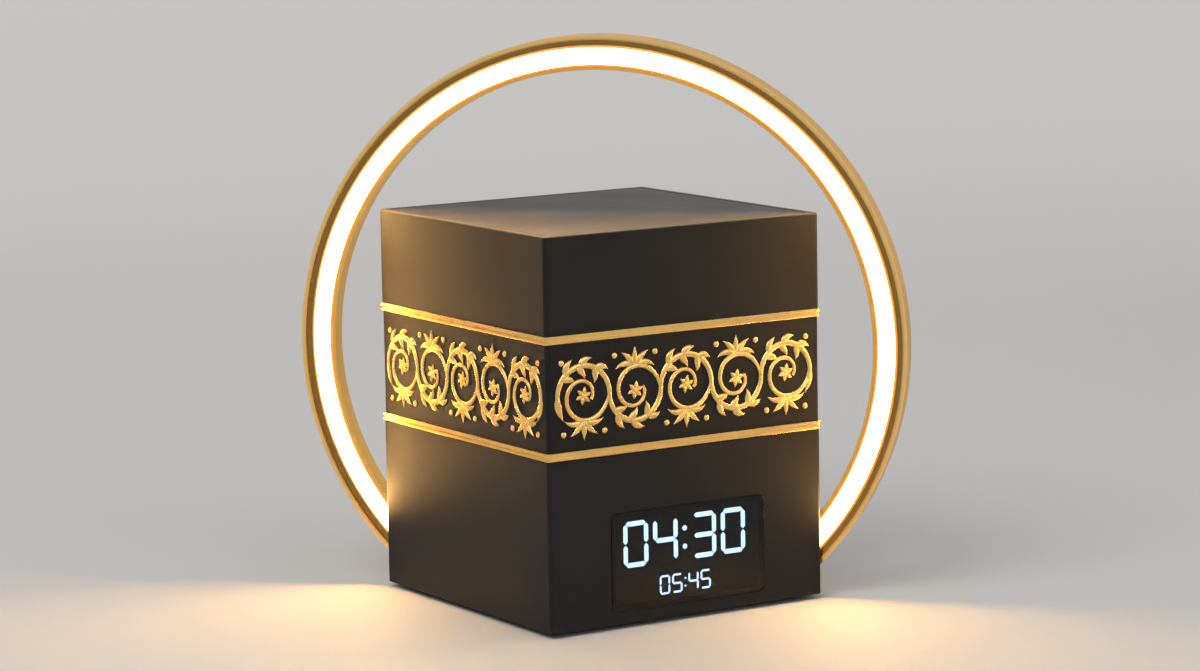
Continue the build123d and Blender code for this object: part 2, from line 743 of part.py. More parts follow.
# ================================================================ window and display
with BuildPart() as display_window:
    with BuildSketch(front_face.offset(window_proud)):
        RectangleRounded(window_width - 2 * fit_gap, window_height - 2 * fit_gap,
                         window_radius - fit_gap)
    extrude(amount=-window_thickness)
    fillet(display_window.faces().sort_by(Axis.Y)[0].edges(), 0.2)
save(display_window, "display_window")

display_plane = Plane(origin=(0, display_face, window_middle), x_dir=(1, 0, 0), z_dir=(0, 1, 0))
with BuildPart() as display_module:
    with BuildSketch(display_plane):
        RectangleRounded(display_width, display_height, 0.8)
    extrude(amount=display_thickness)
save(display_module, "display_module")


def segment(length, stroke, rotation):
    """One bar of a digit, pointed at both ends."""
    half = length / 2
    Polygon((-half, 0), (-half + stroke / 2, stroke / 2), (half - stroke / 2, stroke / 2),
            (half, 0), (half - stroke / 2, -stroke / 2), (-half + stroke / 2, -stroke / 2),
            rotation=rotation)


def digit_row(scale, middle):
    """Four seven-segment digits in two pairs with a colon between them."""
    height = digit_height * scale
    width = digit_width * scale
    stroke = digit_stroke * scale
    pair = digit_pitch * scale
    across = width - stroke
    upright = (height - stroke) / 2
    inner = (colon_gap * scale + width) / 2
    play = digit_play * scale
    for x in (-inner - pair, -inner, inner, inner + pair):
        for level in (-1, 0, 1):
            with Locations((x, middle + level * upright)):
                segment(across - play, stroke, 0)
        for side in (-1, 1):
            for level in (-0.5, 0.5):
                with Locations((x + side * across / 2, middle + level * upright)):
                    segment(upright - play, stroke, 90)
    for level in (-1, 1):
        with Locations((0, middle + level * height * colon_rise)):
            Circle(stroke * colon_dot)


segment_plane = Plane(origin=(0, display_face, window_middle), x_dir=(1, 0, 0), z_dir=(0, -1, 0))
with BuildPart() as display_segments:
    with BuildSketch(segment_plane):
        digit_row(1.0, digit_rise)
        digit_row(small_scale, -small_drop)
    extrude(amount=segment_proud)
save(display_segments, "display_segments")

display_board_plane = Plane(origin=(0, display_board_face, display_middle), x_dir=(1, 0, 0),
                            z_dir=(0, 1, 0))
with BuildPart() as display_board:
    with BuildSketch(display_board_plane):
        RectangleRounded(display_board_width, display_board_height, 1)
        with corners(display_screw_x, display_screw_z):
            Circle(small_screw_radius + screw_hole_gap, mode=Mode.SUBTRACT)
    extrude(amount=board_thickness)
save(display_board, "display_board")

with BuildPart() as display_board_screws:
    with Locations(display_board_plane.offset(board_thickness)):
        with corners(display_screw_x, display_screw_z):
            add(small_screw)
save(display_board_screws, "display_board_screws")

# ================================================================ main board and rear controls
board_plane = rear_inside.offset(board_standoff)
with BuildPart() as main_board:
    with BuildSketch(board_plane):
        RectangleRounded(main_board_width, main_board_height, 1)
        with corners(board_screw_x, board_screw_z):
            Circle(small_screw_radius + screw_hole_gap, mode=Mode.SUBTRACT)
    extrude(amount=board_thickness)
save(main_board, "main_board")

with BuildPart() as main_board_screws:
    with Locations(board_plane.offset(board_thickness)):
        with corners(board_screw_x, board_screw_z):
            add(small_screw)
save(main_board_screws, "main_board_screws")


def on_board(x, z):
    """Plane on the main board's rear face, pointing out of the rear wall."""
    return Plane(origin=(x, main_board_face, z), x_dir=(-1, 0, 0), z_dir=(0, 1, 0))


for name, x in zip(button_names, button_xs):
    seat = on_board(x, button_height)
    save(push_switch(seat), f"{name}_switch")
    save(push_plunger(seat), f"{name}_plunger")
    with BuildPart() as button:
        with BuildSketch(seat.offset(board_standoff - slide_gap)):
            RectangleRounded(button_length, button_width, button_width / 2 - 0.01)
        extrude(amount=wall + slide_gap + button_proud)
        fillet(button.faces().sort_by(Axis.Y)[-1].edges(), button_edge)
        with BuildSketch(seat.offset(board_standoff - slide_gap)):
            RectangleRounded(button_length + 2 * flange_margin, button_width + 2 * flange_margin, 1.5)
        extrude(amount=-flange_thickness)
        with BuildSketch(seat.offset(board_standoff - slide_gap - flange_thickness)):
            Circle(stem_radius)
        extrude(amount=plunger_top - inner_y + slide_gap + flange_thickness)
    save(button, f"{name}_button")

# power switch: a knob that slides 3 mm in its slot, over the switch's body
knob_seat = on_board(knob_x, socket_row)
with BuildPart() as power_switch:
    with BuildSketch(knob_seat):
        RectangleRounded(slider_width, slider_height, 0.4)
    extrude(amount=slider_depth)
    with BuildSketch(knob_seat.offset(slider_depth)):
        Rectangle(tab_width + knob_travel + 2 * slide_gap, tab_height + 2 * slide_gap)
    extrude(amount=-tab_depth - slide_gap, mode=Mode.SUBTRACT)
save(power_switch, "power_switch")

knob_low = knob_seat.offset(board_standoff - slide_gap)
knob_rest = knob_travel / 2                   # the knob rests at the slot's low-X end
with BuildPart() as power_knob:
    with BuildSketch(knob_low):
        with Locations((knob_rest, 0)):
            RectangleRounded(knob_width, knob_height, 0.4)
    extrude(amount=wall + slide_gap + knob_proud)
    with BuildSketch(Plane(origin=(knob_x - knob_rest, half_depth + knob_proud, socket_row),
                           x_dir=(-1, 0, 0), z_dir=(0, 1, 0))):
        with GridLocations(rib_pitch, 1, 3, 1):
            Rectangle(rib_groove, knob_height)
    extrude(amount=-rib_depth, mode=Mode.SUBTRACT)
    with BuildSketch(knob_low):
        with Locations((knob_rest, 0)):
            RectangleRounded(knob_width + 2 * (knob_travel + knob_cover),
                             knob_height + 2 * flange_margin, 0.6)
    extrude(amount=-flange_thickness)
    with BuildSketch(knob_low.offset(-flange_thickness)):
        with Locations((knob_rest, 0)):
            Rectangle(tab_width, tab_height)
    extrude(amount=slider_depth - tab_depth - board_standoff + slide_gap + flange_thickness)
save(power_knob, "power_knob")

with BuildPart() as reset_switch:
    with BuildSketch(on_board(reset_x, socket_row)):
        RectangleRounded(reset_size, reset_size, 0.3)
    extrude(amount=reset_depth)
    with BuildSketch(on_board(reset_x, socket_row).offset(reset_depth)):
        Circle(reset_pin_radius)
    extrude(amount=reset_pin_rise)
save(reset_switch, "reset_switch")

# charging inlet, upright on the board
inlet_seat = on_board(inlet_x, socket_row)
inlet_length = board_standoff + wall - inlet_recess
with BuildPart() as inlet_shell:
    with BuildSketch(inlet_seat):
        RectangleRounded(inlet_width, inlet_height, inlet_height / 2 - 0.01)
        RectangleRounded(inlet_width - 2 * inlet_wall, inlet_height - 2 * inlet_wall,
                         inlet_height / 2 - inlet_wall - 0.01, mode=Mode.SUBTRACT)
    extrude(amount=inlet_length)
save(inlet_shell, "inlet_shell")

with BuildPart() as inlet_tongue:
    with BuildSketch(inlet_seat):
        RectangleRounded(inlet_width - 2 * inlet_wall - 0.1, inlet_height - 2 * inlet_wall - 0.1,
                         inlet_height / 2 - inlet_wall - 0.07)
    extrude(amount=inlet_length - tongue_length - tongue_sink)
    with BuildSketch(inlet_seat):
        Rectangle(tongue_width, tongue_thickness)
    extrude(amount=inlet_length - tongue_sink)
save(inlet_tongue, "inlet_tongue")

# back-up coin cell on the board's inner face
board_inner = Plane(origin=(main_board_x, main_board_face - board_thickness, board_middle),
                    x_dir=(1, 0, 0), z_dir=(0, -1, 0))
coin_place = Plane(origin=board_inner.from_local_coords((coin_offset, -coin_drop, 0)),
                   x_dir=(1, 0, 0), z_dir=(0, -1, 0))
with BuildPart() as coin_holder:
    with BuildSketch(coin_place):
        RectangleRounded(2 * (coin_radius + coin_rim), 2 * (coin_radius + coin_rim), 1)
    extrude(amount=coin_thickness + coin_floor)
    with BuildSketch(coin_place.offset(coin_floor)):
        Circle(coin_radius + fit_gap)
    extrude(amount=coin_thickness, mode=Mode.SUBTRACT)
save(coin_holder, "coin_holder")

with BuildPart() as coin_cell:
    with BuildSketch(coin_place.offset(coin_floor)):
        Circle(coin_radius)
    extrude(amount=coin_thickness)
    fillet(coin_cell.faces().sort_by(Axis.Y)[0].edges(), 0.2)
save(coin_cell, "coin_cell")

# processor, radio, amplifier and clock crystal: place on the board and size
chips = (((8.0, -8.0), (10.0, 10.0, 1.2)), ((20.0, -6.0), (7.0, 7.0, 1.0)),
         ((17.0, 10.5), (12.0, 6.0, 1.4)), ((25.0, 10.5), (2.0, 4.5, 1.6)))
with BuildPart() as board_chips:
    for place, size in chips:
        with Locations(board_inner):
            with Locations(place):
                Box(*size, align=(Align.CENTER, Align.CENTER, Align.MIN))
save(board_chips, "board_chips")

# ================================================================ loudspeaker
with BuildPart() as speaker_gasket:
    with BuildSketch(speaker_inside):
        Circle(speaker_opening + gasket_width)
        Circle(speaker_opening, mode=Mode.SUBTRACT)
        with corners(speaker_screw_place, speaker_screw_place):
            Circle(small_boss_radius + gasket_relief, mode=Mode.SUBTRACT)
    extrude(amount=gasket_thickness)
save(speaker_gasket, "speaker_gasket")

speaker_flange_plane = speaker_inside.offset(gasket_thickness)
speaker_section = Plane(origin=speaker_flange_plane.origin, x_dir=(0, 1, 0), z_dir=(0, 0, -1))
speaker_axis = Axis(speaker_flange_plane.origin, (-1, 0, 0))
basket_foot = magnet_radius - 1.0
with BuildPart() as speaker_basket:
    with BuildSketch(speaker_flange_plane):
        RectangleRounded(speaker_frame, speaker_frame, 3)
        Circle(speaker_opening + basket_gap, mode=Mode.SUBTRACT)
        with corners(speaker_screw_place, speaker_screw_place):
            Circle(small_screw_radius + screw_hole_gap, mode=Mode.SUBTRACT)
    extrude(amount=speaker_flange)
    with BuildSketch(speaker_section):
        with BuildLine():
            Polyline((speaker_opening + basket_gap, basket_root - speaker_flange),
                     (speaker_opening + basket_gap + basket_wall, basket_root - speaker_flange),
                     (basket_foot + basket_wall, -basket_depth),
                     (0, -basket_depth), (0, -basket_depth + basket_wall),
                     (basket_foot, -basket_depth + basket_wall), close=True)
        make_face()
    revolve(axis=speaker_axis)
save(speaker_basket, "speaker_basket")

with BuildPart() as speaker_magnet:
    with BuildSketch(speaker_flange_plane.offset(basket_depth)):
        Circle(magnet_radius)
    extrude(amount=magnet_thickness)
    fillet(speaker_magnet.faces().sort_by(Axis.X)[0].edges(), 0.8)
save(speaker_magnet, "speaker_magnet")

cone_radius = speaker_opening - surround_width - 0.1
cap_sphere = (cap_radius ** 2 + cap_rise ** 2) / (2 * cap_rise)
cap_angle = degrees(asin(cap_radius / cap_sphere))
cap_centre = (0, -cone_low - cone_depth + cap_rise - cap_sphere)
with BuildPart() as speaker_cone:
    with BuildSketch(speaker_section):
        with BuildLine():
            cap_front = CenterArc(cap_centre, cap_sphere, 90 - cap_angle, cap_angle)
            cap_back = CenterArc(cap_centre, cap_sphere - cone_wall, 90 - cap_angle, cap_angle)
            Line(cap_front @ 1, cap_back @ 1)
            Polyline(cap_back @ 0, (cone_radius, -cone_low - cone_wall), (cone_radius, -cone_low),
                     cap_front @ 0)
        make_face()
    revolve(axis=speaker_axis)
save(speaker_cone, "speaker_cone")

with BuildPart() as speaker_surround:
    with BuildSketch(speaker_section):
        with BuildLine():
            ThreePointArc((cone_radius + 0.1, -0.9), (speaker_opening - 1.1, 0.2),
                          (speaker_opening + 0.45, -0.9))
            Line((speaker_opening + 0.45, -0.9), (speaker_opening + 0.05, -0.9))
            ThreePointArc((speaker_opening + 0.05, -0.9), (speaker_opening - 1.1, -0.2),
                          (cone_radius + 0.5, -0.9))
            Line((cone_radius + 0.5, -0.9), (cone_radius + 0.1, -0.9))
        make_face()
    revolve(axis=speaker_axis)
save(speaker_surround, "speaker_surround")

speaker_screw = screw(small_head_radius, small_head_height, small_screw_radius,
                      speaker_flange + gasket_thickness + speaker_thread)
with BuildPart() as speaker_screws:
    with Locations(speaker_flange_plane.offset(speaker_flange)):
        with corners(speaker_screw_place, speaker_screw_place):
            add(speaker_screw)
save(speaker_screws, "speaker_screws")

# ================================================================ cell
cradle_length = cell_length + 2 * (cradle_wall + part_gap)
cradle_width = 2 * (cell_radius + cradle_side)
cell_z = base_top + cradle_plate + cell_radius + fit_gap
cell_end = Plane(origin=(cell_x - cell_length / 2, cell_y, cell_z), x_dir=(0, 1, 0),
                 z_dir=(1, 0, 0))
with BuildPart() as cell_cradle:
    with BuildSketch(Plane.XY.offset(base_top)):
        with Locations((cell_x, cell_y)):
            Rectangle(cradle_length, cradle_width)
    extrude(amount=cradle_height)
    with BuildSketch(cell_end.offset(-part_gap)):
        Circle(cell_radius + fit_gap)
    extrude(amount=cell_length + 2 * part_gap, mode=Mode.SUBTRACT)
    with BuildSketch(Plane.XY.offset(base_top)):
        with Locations((cell_x, cell_y)):
            RectangleRounded(cradle_ear_width, 2 * (ear_offset + cradle_ear / 2), 2)
    extrude(amount=cradle_plate)
    with Locations(Plane.XY.offset(base_top + cradle_plate)):
        with Locations(*ear_places):
            Hole(small_screw_radius + screw_hole_gap, cradle_plate)
save(cell_cradle, "cell_cradle")

with BuildPart() as battery_cell:
    with BuildSketch(cell_end):
        Circle(cell_radius)
    extrude(amount=cell_length - cell_cap_rise)
    with BuildSketch(cell_end):
        Circle(cell_cap_radius)
    extrude(amount=cell_length)
save(battery_cell, "battery_cell")

cradle_screw = screw(small_head_radius, small_head_height, small_screw_radius,
                     cradle_plate + cradle_thread)
with BuildPart() as cradle_screws:
    with Locations(Plane.XY.offset(base_top + cradle_plate)):
        with Locations(*ear_places):
            add(cradle_screw)
save(cradle_screws, "cradle_screws")

# ================================================================ ribbon cable
ribbon_width = 16.0
ribbon_thickness = 0.3
ribbon_radius = 3.0
ribbon_low = 31.0
ribbon_high = 44.0
ribbon_straight = 7.0                         # level run at each connector
ribbon_slope = 10.0
connector_depth = 2.2
connector_height = 3.0
connector_margin = 1.5                        # connector beside the ribbon
connector_front = display_board_face + board_thickness
connector_rear = main_board_face - board_thickness
with BuildPart() as ribbon_connectors:
    with Locations((0, connector_front + connector_depth / 2, ribbon_low),
                   (0, connector_rear - connector_depth / 2, ribbon_low)):
        Box(ribbon_width + 2 * connector_margin, connector_depth, connector_height)
save(ribbon_connectors, "ribbon_connectors")

ribbon_front = connector_front + connector_depth
ribbon_rear = connector_rear - connector_depth
ribbon_bend = ribbon_straight + ribbon_slope
with BuildPart() as display_ribbon:
    with BuildSketch(Plane.YZ.offset(-ribbon_width / 2)):
        with BuildLine():
            FilletPolyline((ribbon_front, ribbon_low), (ribbon_front + ribbon_straight, ribbon_low),
                           (ribbon_front + ribbon_bend, ribbon_high),
                           (ribbon_rear - ribbon_bend, ribbon_high),
                           (ribbon_rear - ribbon_straight, ribbon_low), (ribbon_rear, ribbon_low),
                           radius=ribbon_radius)
        trace(line_width=ribbon_thickness)
    extrude(amount=ribbon_width)
save(display_ribbon, "display_ribbon")

# ================================================================ leads
lead_radius = 0.8
lead_bend = 3.0
lead_run = 6.0                                # straight run at each end
lead_height = 32.0                            # where the leads meet the board
cell_lead_x = cell_x + cell_length / 2 - cell_radius
cell_top = cell_z + cell_radius
cell_lead_end = cell_lead_x + 12.0
speaker_back = inner_x - gasket_thickness - speaker_flange
speaker_lead_z = speaker_z + speaker_frame / 2 - 2 * lead_radius
speaker_lead_end = speaker_back - 9.0


def lead(*points):
    """Two-core lead of round section through its corner points."""
    with BuildPart() as body:
        with BuildLine() as route:
            FilletPolyline(*points, radius=lead_bend)
        with BuildSketch(Plane(origin=route.line @ 0, z_dir=route.line % 0)):
            Circle(lead_radius)
        sweep()
    return body.part


with BuildPart() as inner_leads:
    # from the top of the cell's wrap to the board
    add(lead((cell_lead_x, cell_y, cell_top), (cell_lead_x, cell_y, cell_top + lead_run),
             (cell_lead_end, connector_rear - lead_run, lead_height),
             (cell_lead_end, connector_rear, lead_height)))
    # from the loudspeaker's flange to the board
    add(lead((speaker_back, speaker_y, speaker_lead_z),
             (speaker_back - lead_run, speaker_y, speaker_lead_z),
             (speaker_lead_end, connector_rear - lead_run, lead_height),
             (speaker_lead_end, connector_rear, lead_height)))
save(inner_leads, "inner_leads")
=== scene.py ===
import logging
import math
from collections.abc import Iterable, Sequence
from dataclasses import dataclass
from enum import Enum

import bpy
from mathutils import Matrix, Vector


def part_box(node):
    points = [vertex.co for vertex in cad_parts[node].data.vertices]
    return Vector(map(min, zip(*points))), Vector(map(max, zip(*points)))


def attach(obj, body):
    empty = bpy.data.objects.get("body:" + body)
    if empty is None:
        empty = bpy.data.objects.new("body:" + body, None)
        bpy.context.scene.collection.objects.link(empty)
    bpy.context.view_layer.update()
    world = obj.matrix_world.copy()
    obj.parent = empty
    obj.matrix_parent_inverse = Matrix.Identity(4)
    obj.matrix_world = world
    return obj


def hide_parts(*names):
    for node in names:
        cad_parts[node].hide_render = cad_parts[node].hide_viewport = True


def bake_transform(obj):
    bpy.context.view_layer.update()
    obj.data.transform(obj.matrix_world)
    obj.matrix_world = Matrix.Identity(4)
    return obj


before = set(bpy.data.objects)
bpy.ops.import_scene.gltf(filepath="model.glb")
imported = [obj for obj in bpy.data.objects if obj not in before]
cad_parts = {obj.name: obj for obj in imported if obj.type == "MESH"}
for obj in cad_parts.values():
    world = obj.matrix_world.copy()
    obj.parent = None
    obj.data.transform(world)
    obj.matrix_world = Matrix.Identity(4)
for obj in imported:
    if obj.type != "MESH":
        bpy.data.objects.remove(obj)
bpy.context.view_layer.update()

LOG = logging.getLogger("clock")
MM = 0.001

Colour = tuple[float, float, float]
Triple = tuple[float, float, float]
Pair = tuple[float, float]
Socket = bpy.types.NodeSocket
MIXED: dict[str, bpy.types.Material] = {}    # the materials made so far, by name


# ---------------------------------------------------------------- named options
class Side(Enum):
    """An upright face of the housing, by the turn in degrees that brings the front face to it."""

    FRONT = 0
    RIGHT = 90
    REAR = 180
    LEFT = 270

    def place(self, distance: float) -> Matrix:
        """Gives the matrix from a face's own across, up and out to the model.

        Args:
            distance: from the housing's upright axis to the face, in metres.

        Returns:
            The matrix for points written as (across, up, out).
        """
        face = Matrix(((1, 0, 0, 0), (0, 0, -1, -distance), (0, 1, 0, 0), (0, 0, 0, 1)))
        return Matrix.Rotation(math.radians(self.value), 4, "Z") @ face


class Flow(Enum):
    """The way in which the brush lines of a metallised piece run."""

    LEVEL = "level"
    ROUND = "round the light's axis"
    NONE = "none"


class Icon(Enum):
    """The sign moulded on a key, by the key's name."""

    BARS = "mode"
    BACK = "previous"
    FORWARD = "next"
    SUN = "light"


# ---------------------------------------------------------------- finishes
class Recipe:
    """The node tree of one material, grown round its Principled shader."""

    def __init__(self, name: str) -> None:
        """Starts a material whose shader has no inputs linked yet.

        Args:
            name: the material's name.
        """
        self.material = bpy.data.materials.new(name)
        self.material.use_nodes = True
        self.tree = self.material.node_tree
        self.shader = next(n for n in self.tree.nodes if n.type == "BSDF_PRINCIPLED")
        self.place = self.node("ShaderNodeTexCoord").outputs["Object"]

    def node(self, kind: str, **values: object) -> bpy.types.Node:
        """Adds a node.

        Args:
            kind: Blender's identifier of the node.
            **values: settings by name, and inputs by name or as in0, in1 and so on. An input takes a
                constant or a socket to link.

        Returns:
            The new node.
        """
        made = self.tree.nodes.new(kind)
        for key, value in values.items():
            if key in made.bl_rna.properties:
                setattr(made, key, value)
                continue
            numbered = key.startswith("in") and key[2:].isdigit()
            self.feed(made.inputs[int(key[2:]) if numbered else key], value)
        return made

    def feed(self, into: Socket, value: object) -> None:
        """Fills an input.

        Args:
            into: the input.
            value: a socket to link to it, or a constant to write on it.
        """
        if isinstance(value, bpy.types.NodeSocket):
            self.tree.links.new(value, into)
        else:
            into.default_value = value

    def set(self, **values: object) -> None:
        """Sets the shader's own inputs.

        Args:
            **values: sockets or constants by the input's name, with underscores for spaces.
        """
        for key, value in values.items():
            if isinstance(value, tuple) and len(value) == 3:
                value = (*value, 1.0)
            self.feed(self.shader.inputs[key.replace("_", " ")], value)

    def painted(self) -> Socket:
        """Gives the socket that feeds the shader's colour so far."""
        return self.shader.inputs["Base Color"].links[0].from_socket

    def maths(self, operation: str, a: object, b: object = 0.0) -> Socket:
        """Gives the result of a Math node on one or two values."""
        return self.node("ShaderNodeMath", operation=operation, in0=a, in1=b).outputs[0]

    def stretched(self, by: Triple) -> Socket:
        """Gives the model's coordinates, each multiplied by its own factor."""
        return self.node("ShaderNodeVectorMath", operation="MULTIPLY", in0=self.place, in1=by).outputs[0]

    def noise(self, scale: float, detail: float = 2.0, at: Socket | None = None,
              rough: float = 0.5) -> Socket:
        """Gives a noise value.

        Args:
            scale: features in a metre.
            detail: octaves.
            at: coordinates, or the model's own.
            rough: share of the finer octaves.

        Returns:
            The value's socket, about 0.3 to 0.7.
        """
        return self.node("ShaderNodeTexNoise", Scale=scale, Detail=detail, Roughness=rough,
                         Vector=at or self.place).outputs[0]

    def span(self, value: Socket, low: float, high: float, start: float = 0.3, end: float = 0.7) -> Socket:
        """Maps a value from one range to another and clamps it there.

        Args:
            value: what is mapped.
            low: the result at start.
            high: the result at end.
            start: where the value's range starts. The defaults suit a noise.
            end: where it ends.

        Returns:
            The result's socket.
        """
        made = self.node("ShaderNodeMapRange", Value=value)
        for name, number in zip(("From Min", "From Max", "To Min", "To Max"), (start, end, low, high)):
            made.inputs[name].default_value = number
        return made.outputs[0]

    def blend(self, share: Socket, first: Colour | Socket, second: Colour) -> Socket:
        """Mixes two colours.

        Args:
            share: 0 for the first colour, 1 for the second.
            first: a colour, or the socket of one.
            second: a colour.

        Returns:
            The mixed colour's socket.
        """
        made = self.node("ShaderNodeMix", data_type="RGBA", Factor=share)
        self.feed(made.inputs[6], (*first, 1.0) if isinstance(first, tuple) else first)
        self.feed(made.inputs[7], (*second, 1.0))
        return made.outputs[2]

    def bump(self, height: Socket, depth: float, under: Socket | None = None) -> Socket:
        """Gives a normal for a height field.

        Args:
            height: the field, from 0 to 1.
            depth: its full height in metres.
            under: a normal to start from.

        Returns:
            The normal's socket.
        """
        made = self.node("ShaderNodeBump", Height=height, Distance=depth, Strength=1.0)
        if under is not None:
            self.feed(made.inputs["Normal"], under)
        return made.outputs[0]

    def edges(self, radius: float) -> Socket:
        """Finds the sharp edges.

        Args:
            radius: how far from an edge it is felt, in metres.

        Returns:
            The socket of a value that is 0 on a flat face and rises to 1 on a sharp edge.
        """
        sharp, flat = 0.72, 0.995    # cosines between the face's normal and the softened one
        soft = self.node("ShaderNodeBevel", samples=4, Radius=radius).outputs[0]
        face = self.node("ShaderNodeNewGeometry").outputs["Normal"]
        same = self.node("ShaderNodeVectorMath", operation="DOT_PRODUCT", in0=soft, in1=face)
        return self.span(same.outputs["Value"], 1.0, 0.0, sharp, flat)


def looked_at(tree: bpy.types.NodeTree) -> Socket:
    """Gives 1 for a ray from the camera, off metal or through glass, and 0 for one that only carries light.

    Args:
        tree: the nodes of the material or of the surroundings.

    Returns:
        The value's socket.
    """
    ray = tree.nodes.new("ShaderNodeLightPath")
    share = ray.outputs["Is Camera Ray"]
    for kind in ("Is Glossy Ray", "Is Transmission Ray"):
        either = tree.nodes.new("ShaderNodeMath")
        either.operation = "MAXIMUM"
        tree.links.new(share, either.inputs[0])
        tree.links.new(ray.outputs[kind], either.inputs[1])
        share = either.outputs[0]
    return share


def shade(colour: Colour, factor: float) -> Colour:
    """Gives a colour multiplied by a factor."""
    return tuple(c * factor for c in colour)


@dataclass(frozen=True)
class Finish:
    """What every finish has: its material's name and its main colour."""

    name: str
    colour: Colour

    def mix(self) -> Recipe:
        """Makes the node tree. Each kind of finish has its own."""
        raise NotImplementedError

    def material(self) -> bpy.types.Material:
        """Gives the finish's material, made the first time that it is asked for.

        Returns:
            The material.
        """
        if self.name not in MIXED:
            MIXED[self.name] = self.mix().material
        return MIXED[self.name]


@dataclass(frozen=True)
class MouldedPlastic(Finish):
    """Moulded plastic with a spark-eroded grain, cloudy sheen, and worn edges that are smoother and carry a
    painted highlight.
    """

    roughness: float = 0.5
    gloss: float = 0.35
    grain: float = 0.45 * MM
    depth: float = 0.03 * MM          # of the grain
    speckle: float = 0.03             # how far the grain changes the roughness
    clouds: float = 28.0              # in a metre
    dull: Pair = (-0.05, 0.07)        # how far they change the roughness
    tones: Pair = (0.85, 1.6)         # darkest and palest, as shares of the colour
    cloud_tone: float = 0.5           # how far towards the palest a cloud goes
    painted_edge_highlight: float = 0.6               # how far towards it a sharp edge is painted, as a painted highlight
    edge: float = 0.5 * MM            # width of a worn edge and its painted highlight
    wear_and_highlight_patches: float = 240.0               # patches in a metre where edges are worn smoother and painted paler
    polish: float = 0.12              # how much smoother they are

    def mix(self) -> Recipe:
        """Makes the grain, the sheen's clouds, and the worn edges with their painted highlight.

        Returns:
            The node tree.
        """
        recipe = Recipe(self.name)
        grain = recipe.noise(1 / self.grain, detail=3.0, rough=0.6)
        clouds = recipe.noise(self.clouds, detail=4.0)
        wear_and_highlight_mask = recipe.span(recipe.noise(self.wear_and_highlight_patches), 0.3, 1.0)
        # sharp edges in patches: smoother from wear, and painted paler as a painted highlight
        edge = recipe.maths("MULTIPLY", recipe.edges(self.edge), wear_and_highlight_mask)
        tone = recipe.maths("ADD", recipe.span(clouds, 0.0, self.cloud_tone),
                            recipe.maths("MULTIPLY", edge, self.painted_edge_highlight))
        dull = recipe.span(clouds, *(self.roughness + change for change in self.dull))
        sheen = recipe.maths("SUBTRACT", dull, recipe.maths("MULTIPLY", edge, self.polish))
        speck = recipe.span(grain, -self.speckle, self.speckle)
        recipe.set(Base_Color=recipe.blend(tone, *(shade(self.colour, share) for share in self.tones)),
                   Roughness=recipe.maths("ADD", sheen, speck), Specular_IOR_Level=self.gloss,
                   Normal=recipe.bump(grain, self.depth))
        return recipe


@dataclass(frozen=True)
class PaintedLitTopPlastic(MouldedPlastic):
    """Moulded plastic with painted light on its upper face: what faces up is painted paler, unevenly."""

    painted_top_light: float = 5.8                 # how much paler the painted light makes the upper face
    painted_light_patches: float = 60.0             # patches of the painted light, in a metre
    upward: Pair = (0.5, 0.95)        # upward share of the normal, from where a face counts to full

    def mix(self) -> Recipe:
        """Makes the plain plastic, then paints light on what faces up, unevenly.

        Returns:
            The node tree.
        """
        recipe = super().mix()
        # painted light: faces that point up are painted paler, in patches
        normal = recipe.node("ShaderNodeNewGeometry").outputs["Normal"]
        level = recipe.node("ShaderNodeSeparateXYZ", in0=normal).outputs[2]
        handled = recipe.maths("MULTIPLY", recipe.span(level, 0.0, 1.0, *self.upward),
                               recipe.span(recipe.noise(self.painted_light_patches, detail=3.0), 0.75, 1.0))
        recipe.set(Base_Color=recipe.blend(handled, recipe.painted(), shade(self.colour, self.painted_top_light)))
        return recipe


@dataclass(frozen=True)
class GoldFoil(Finish):
    """Metallised gold under lacquer, with fine brush lines and small dents."""

    roughness: float = 0.24
    flow: Flow = Flow.LEVEL
    lines: float = 0.005 * MM         # depth of the brush lines
    dents: float = 0.005 * MM         # depth of the dents
    glance: Colour = (1.0, 0.80, 0.48)    # tint that the metal keeps at a glancing angle
    fine: float = 9000.0              # brush lines in a metre, across them
    long: float = 60.0                # along them
    mottle: float = 2600.0            # specks in a metre, where it isn't brushed
    dented: float = 420.0             # dents in a metre
    tarnish: float = 90.0             # dull patches in a metre
    dull: float = 0.04                # how much rougher they are
    dull_tone: float = 0.88           # share of the colour that they keep
    lacquer: float = 0.15

    def brushed(self, recipe: Recipe) -> Socket:
        """Makes the brush lines along the piece, or a mottle where it has none.

        Args:
            recipe: the node tree.

        Returns:
            The socket of their height.
        """
        if self.flow is Flow.NONE:
            return recipe.noise(self.mottle, detail=3.0)
        if self.flow is Flow.LEVEL:
            return recipe.noise(1.0, at=recipe.stretched((self.long, self.long, self.fine)))
        radius, behind = RingLight().across(recipe)
        round_it = recipe.node("ShaderNodeCombineXYZ", in0=recipe.maths("MULTIPLY", radius, self.fine),
                               in1=recipe.maths("MULTIPLY", behind, self.fine))
        return recipe.noise(1.0, at=round_it.outputs[0])

    def mix(self) -> Recipe:
        """Makes the brush lines, the dents and the tarnish.

        Returns:
            The node tree.
        """
        recipe = Recipe(self.name)
        brushed = self.brushed(recipe)
        tarnish = recipe.span(recipe.noise(self.tarnish, detail=4.0), 0.0, 1.0)
        rough = recipe.span(tarnish, self.roughness + self.dull, self.roughness, 0.0, 1.0)
        dents = recipe.bump(recipe.noise(self.dented), self.dents)
        recipe.set(Base_Color=recipe.blend(tarnish, shade(self.colour, self.dull_tone), self.colour),
                   Metallic=1.0, Roughness=recipe.maths("ADD", recipe.span(brushed, -0.05, 0.06), rough),
                   Normal=recipe.bump(brushed, self.lines, dents),
                   Specular_Tint=self.glance, Coat_Weight=self.lacquer, Coat_Roughness=0.12)
        return recipe


